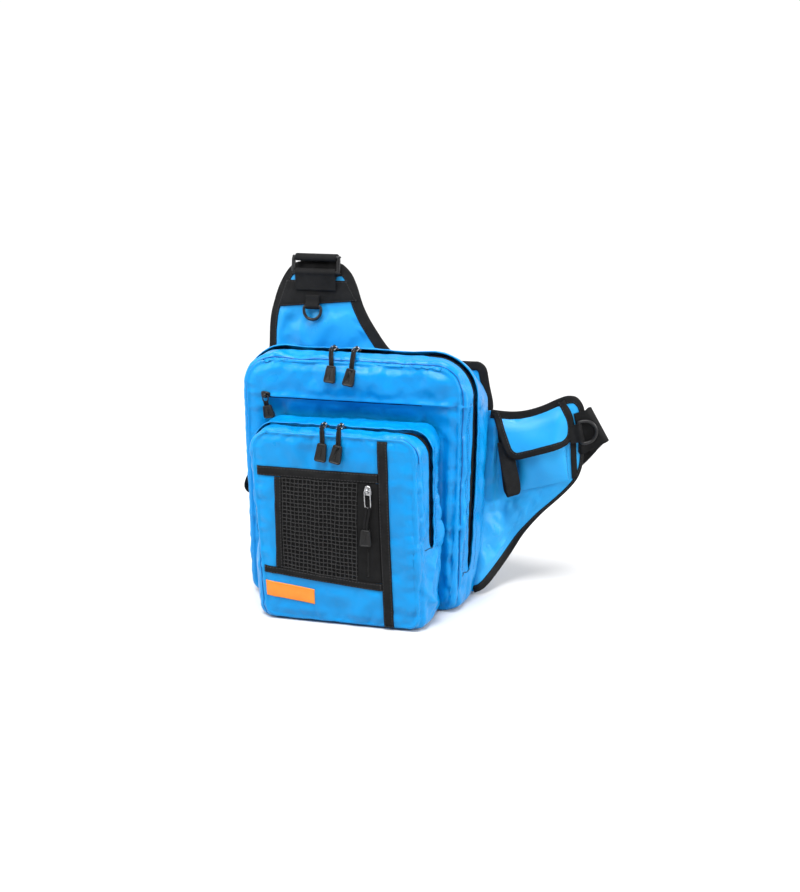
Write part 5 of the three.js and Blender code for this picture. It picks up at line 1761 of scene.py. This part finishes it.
SLIDER_RINGS = ((0.9, 0), (0.2, 0.2), (0, 0.6), (0.1, 1.5), (0.7, 2.0), (1.6, 2.2))
SLIDER_ARCH = ((-2.6, 2.2), (-2.5, 3.8), (-1.7, 5.1), (0, 5.6), (1.7, 5.1), (2.5, 3.8), (2.6, 2.2))
GRIP_RINGS = (
    (1.6, -2.3), (0.5, -2.1), (0, -1.5), (0, 1.5), (0.4, 2.1), (0.9, 2.3), (1.4, 2.2), (1.7, 1.7), (2.2, 1.6),
)
GRIP_BAR_RINGS = ((0, 1.4), (0, 1.9), (0.15, 2.1))


def slider(at, along, out, hole):
    """Slider with a rounded plate and a bridge for the wire"""
    a = np.arange(24) * math.pi / 12
    x, y = [np.sign(c) * np.abs(c) ** 0.6 for c in (np.cos(a), np.sin(a))]
    plate = np.column_stack([SLIDER["long"] * x, SLIDER["wide"] * y * (1 - SLIDER["taper"] * x)])
    body = slab(plate, SLIDER_RINGS, at + out * 0.3, along, np.cross(out, along), out)
    arch = curve(SLIDER_ARCH, 0.8)
    path = at + np.outer(arch[:, 0], unit(np.cross(hole, out))) + np.outer(arch[:, 1], out)
    return body + sweep(path, same(hole, path), np.cross(hole, along_of(path)), circle(10, 1.3, 0.5))


def wire_loop(eye, way, hole, reach):
    half = [(2.6, 0), (3.1, 1.2), (3.1, reach - 2.6), (1.9, reach - 0.6)]
    loop = [(0, 0), *half, (0, reach), *mirrored(half)]
    return ring_tube(loop, circle(9, 0.7), eye, np.column_stack([hole, np.cross(way, hole), way]), 0.6)


def doubled_cord(points, face):
    """Two strands side by side, a little closer towards the grip"""
    path = curve(points, 1.0)
    way = along_of(path)
    broad = unit(np.cross(way, unit(face)))
    apart = 1.55 - 0.25 * np.linspace(0, 1, len(path))[:, None]
    strands = [sweep(path + broad * apart * hand, broad, np.cross(broad, way), circle(10, 1.45, 1.2))
               for hand in (-1, 1)]
    return total(strands)


def rubber_grip(start, down, tall, face):
    """Grip that widens downwards, hollowed on its face round a raised bar"""
    half = [(3.6, 0), (4.9, 1.4), (5.7, tall * 0.5), (6.4, tall - 2.5), (5.2, tall)]
    edge = curve([*half, (0, tall + 0.2), *mirrored(half), (0, -0.2)], 0.9, closed=True)[:-1]
    across = unit(np.cross(down, face))
    ways = (across, down, np.cross(across, down))
    bar = slab(circle(12, 0.5, tall * 0.26), GRIP_BAR_RINGS, start + down * tall * 0.52, *ways)
    return slab(edge, GRIP_RINGS, start, *ways) + bar


def pull(name, at, along, out, wire_end, cord, grip_end, face):
    at, wire_end, grip_end, face = [np.array(p, float) for p in (at, wire_end, grip_end, face)]
    along, out = unit(np.array(along, float)), unit(np.array(out, float))
    eye = at + out * SLIDER["eye"]
    way = unit(wire_end - eye)
    hole = unit(np.cross(out, way))
    metal = METAL if name == "net" else ENAMEL
    piece(f"{name}_slider_body", slider(at, along, out, hole), metal, [f"{name}_slider"])
    metal = ENAMEL if name == "welt" else METAL
    wire = wire_loop(eye, way, hole, np.linalg.norm(wire_end - eye))
    piece(f"{name}_wire_loop", wire, metal, [f"{name}_wire"])
    top = np.array(cord[-1], float)
    down = unit(grip_end - top)
    points = [wire_end - way * 1.2, wire_end + way * 1.2, *cord, top + down * 2.5]
    piece(f"{name}_braid", doubled_cord(points, face), BRAID, [f"{name}_cord"])
    grip = rubber_grip(top + down * 0.6, down, np.linalg.norm(grip_end - top) - 0.6, face)
    piece(f"{name}_grip_rubber", grip, RUBBER, [f"{name}_grip"])


# Stage, light and camera
FLOOR_HALF, FLOOR_DROP = 20000.0, -0.2
HIGHEST, HORIZON = 1.04, (0.05, 0.09)
SUN = {"power": 3.6, "angle": 30, "place": (0.0, -0.6, 1.65), "aim": (0.05, 0, 0.15)}

# Lamps: name, place, aim, size, power, spread
LAMPS = (
    ("left", (-1.3, -0.9, 1.0), (-0.05, -0.05, 0.2), 0.22, 5.5, 120),
    ("right", (1.65, -0.4, 0.75), (0.18, 0.02, 0.15), 0.2, 1.8, 60),
    ("rim", (1.3, 0.55, 0.9), (0.13, 0, 0.15), 0.25, 1.5, 120),
    ("upper", (-0.2, -1.0, 1.3), (-0.05, 0.05, 0.34), 0.4, 0.22, 30),
)


def stage():
    places = np.linspace(-FLOOR_HALF, FLOOR_HALF, 17)
    x, y = np.meshgrid(places, places)
    floor = mesh_object("floor", grid_shape(xyz(x, y, FLOOR_DROP), (places, places)), [pale_floor()])


def aimed(name, data, place, aim):
    made = bpy.data.objects.new(name, data)
    made.location = place
    made.rotation_euler = (Vector(aim) - Vector(place)).to_track_quat("-Z", "Y").to_euler()
    bpy.context.scene.collection.objects.link(made)
    return made


def studio():
    """White behind the bag and at the horizon, darker in front"""
    world = bpy.data.worlds.new("studio")
    world.use_nodes = True
    nodes = Nodes(world.node_tree)
    way = nodes.parts(nodes.node("TexCoord", {}).outputs["Generated"])
    fade = nodes.span(way[1], (-0.6, 0.05), (0.24, HIGHEST))
    horizon = nodes.span(nodes.math("ABSOLUTE", way[2]), HORIZON, (HIGHEST, 0.0))
    sky = nodes.tree.nodes["Background"].inputs
    sky["Color"].default_value = (1, 1, 1, 1)
    nodes.tree.links.new(nodes.math("MAXIMUM", fade, horizon), sky["Strength"])
    bpy.context.scene.world = world


def light():
    studio()
    sun = bpy.data.lights.new("sky", "SUN")
    sun.energy, sun.angle = SUN["power"], math.radians(SUN["angle"])
    aimed("sky", sun, SUN["place"], SUN["aim"])
    for name, place, aim, size, power, spread in LAMPS:
        lamp = bpy.data.lights.new(name, "AREA")
        lamp.size, lamp.energy, lamp.spread = size, power, math.radians(spread)
        aimed(name, lamp, place, aim)
    bpy.context.scene.view_settings.view_transform = "Standard"
    bpy.context.scene.view_settings.look = "None"


def camera():
    a, e = math.radians(AZIMUTH), math.radians(ELEVATION)
    back_way = Vector((math.sin(a) * math.cos(e), -math.cos(a) * math.cos(e), math.sin(e)))
    data = bpy.data.cameras.new("photo_view")
    data.sensor_width = SENSOR
    data.lens = SENSOR * FOCAL_PX / PHOTO_TALL
    data.clip_start, data.clip_end = 0.01, 50
    aim = Vector(AIM) * MM
    bpy.context.scene.camera = aimed("photo_view", data, aim + back_way * DISTANCE * MM, aim)


stage()
light()
camera()
main_compartment()
pocket_front = front_pocket()
body_zip("main_zip", MAIN, MAIN_ZIP, MAIN_ZIP_RIGHT, "main_zipper")
body_zip("pocket_zip", POCKET, POCKET_ZIP, POCKET_ZIP_RIGHT, "pocket_zipper")
pocket_trim(pocket_front)
welt_zip()
yoke()
wing()
tip()
back()
shoulder_strap()
side_webbing()
for name, parts in PULLS.items():
    pull(name, *parts)
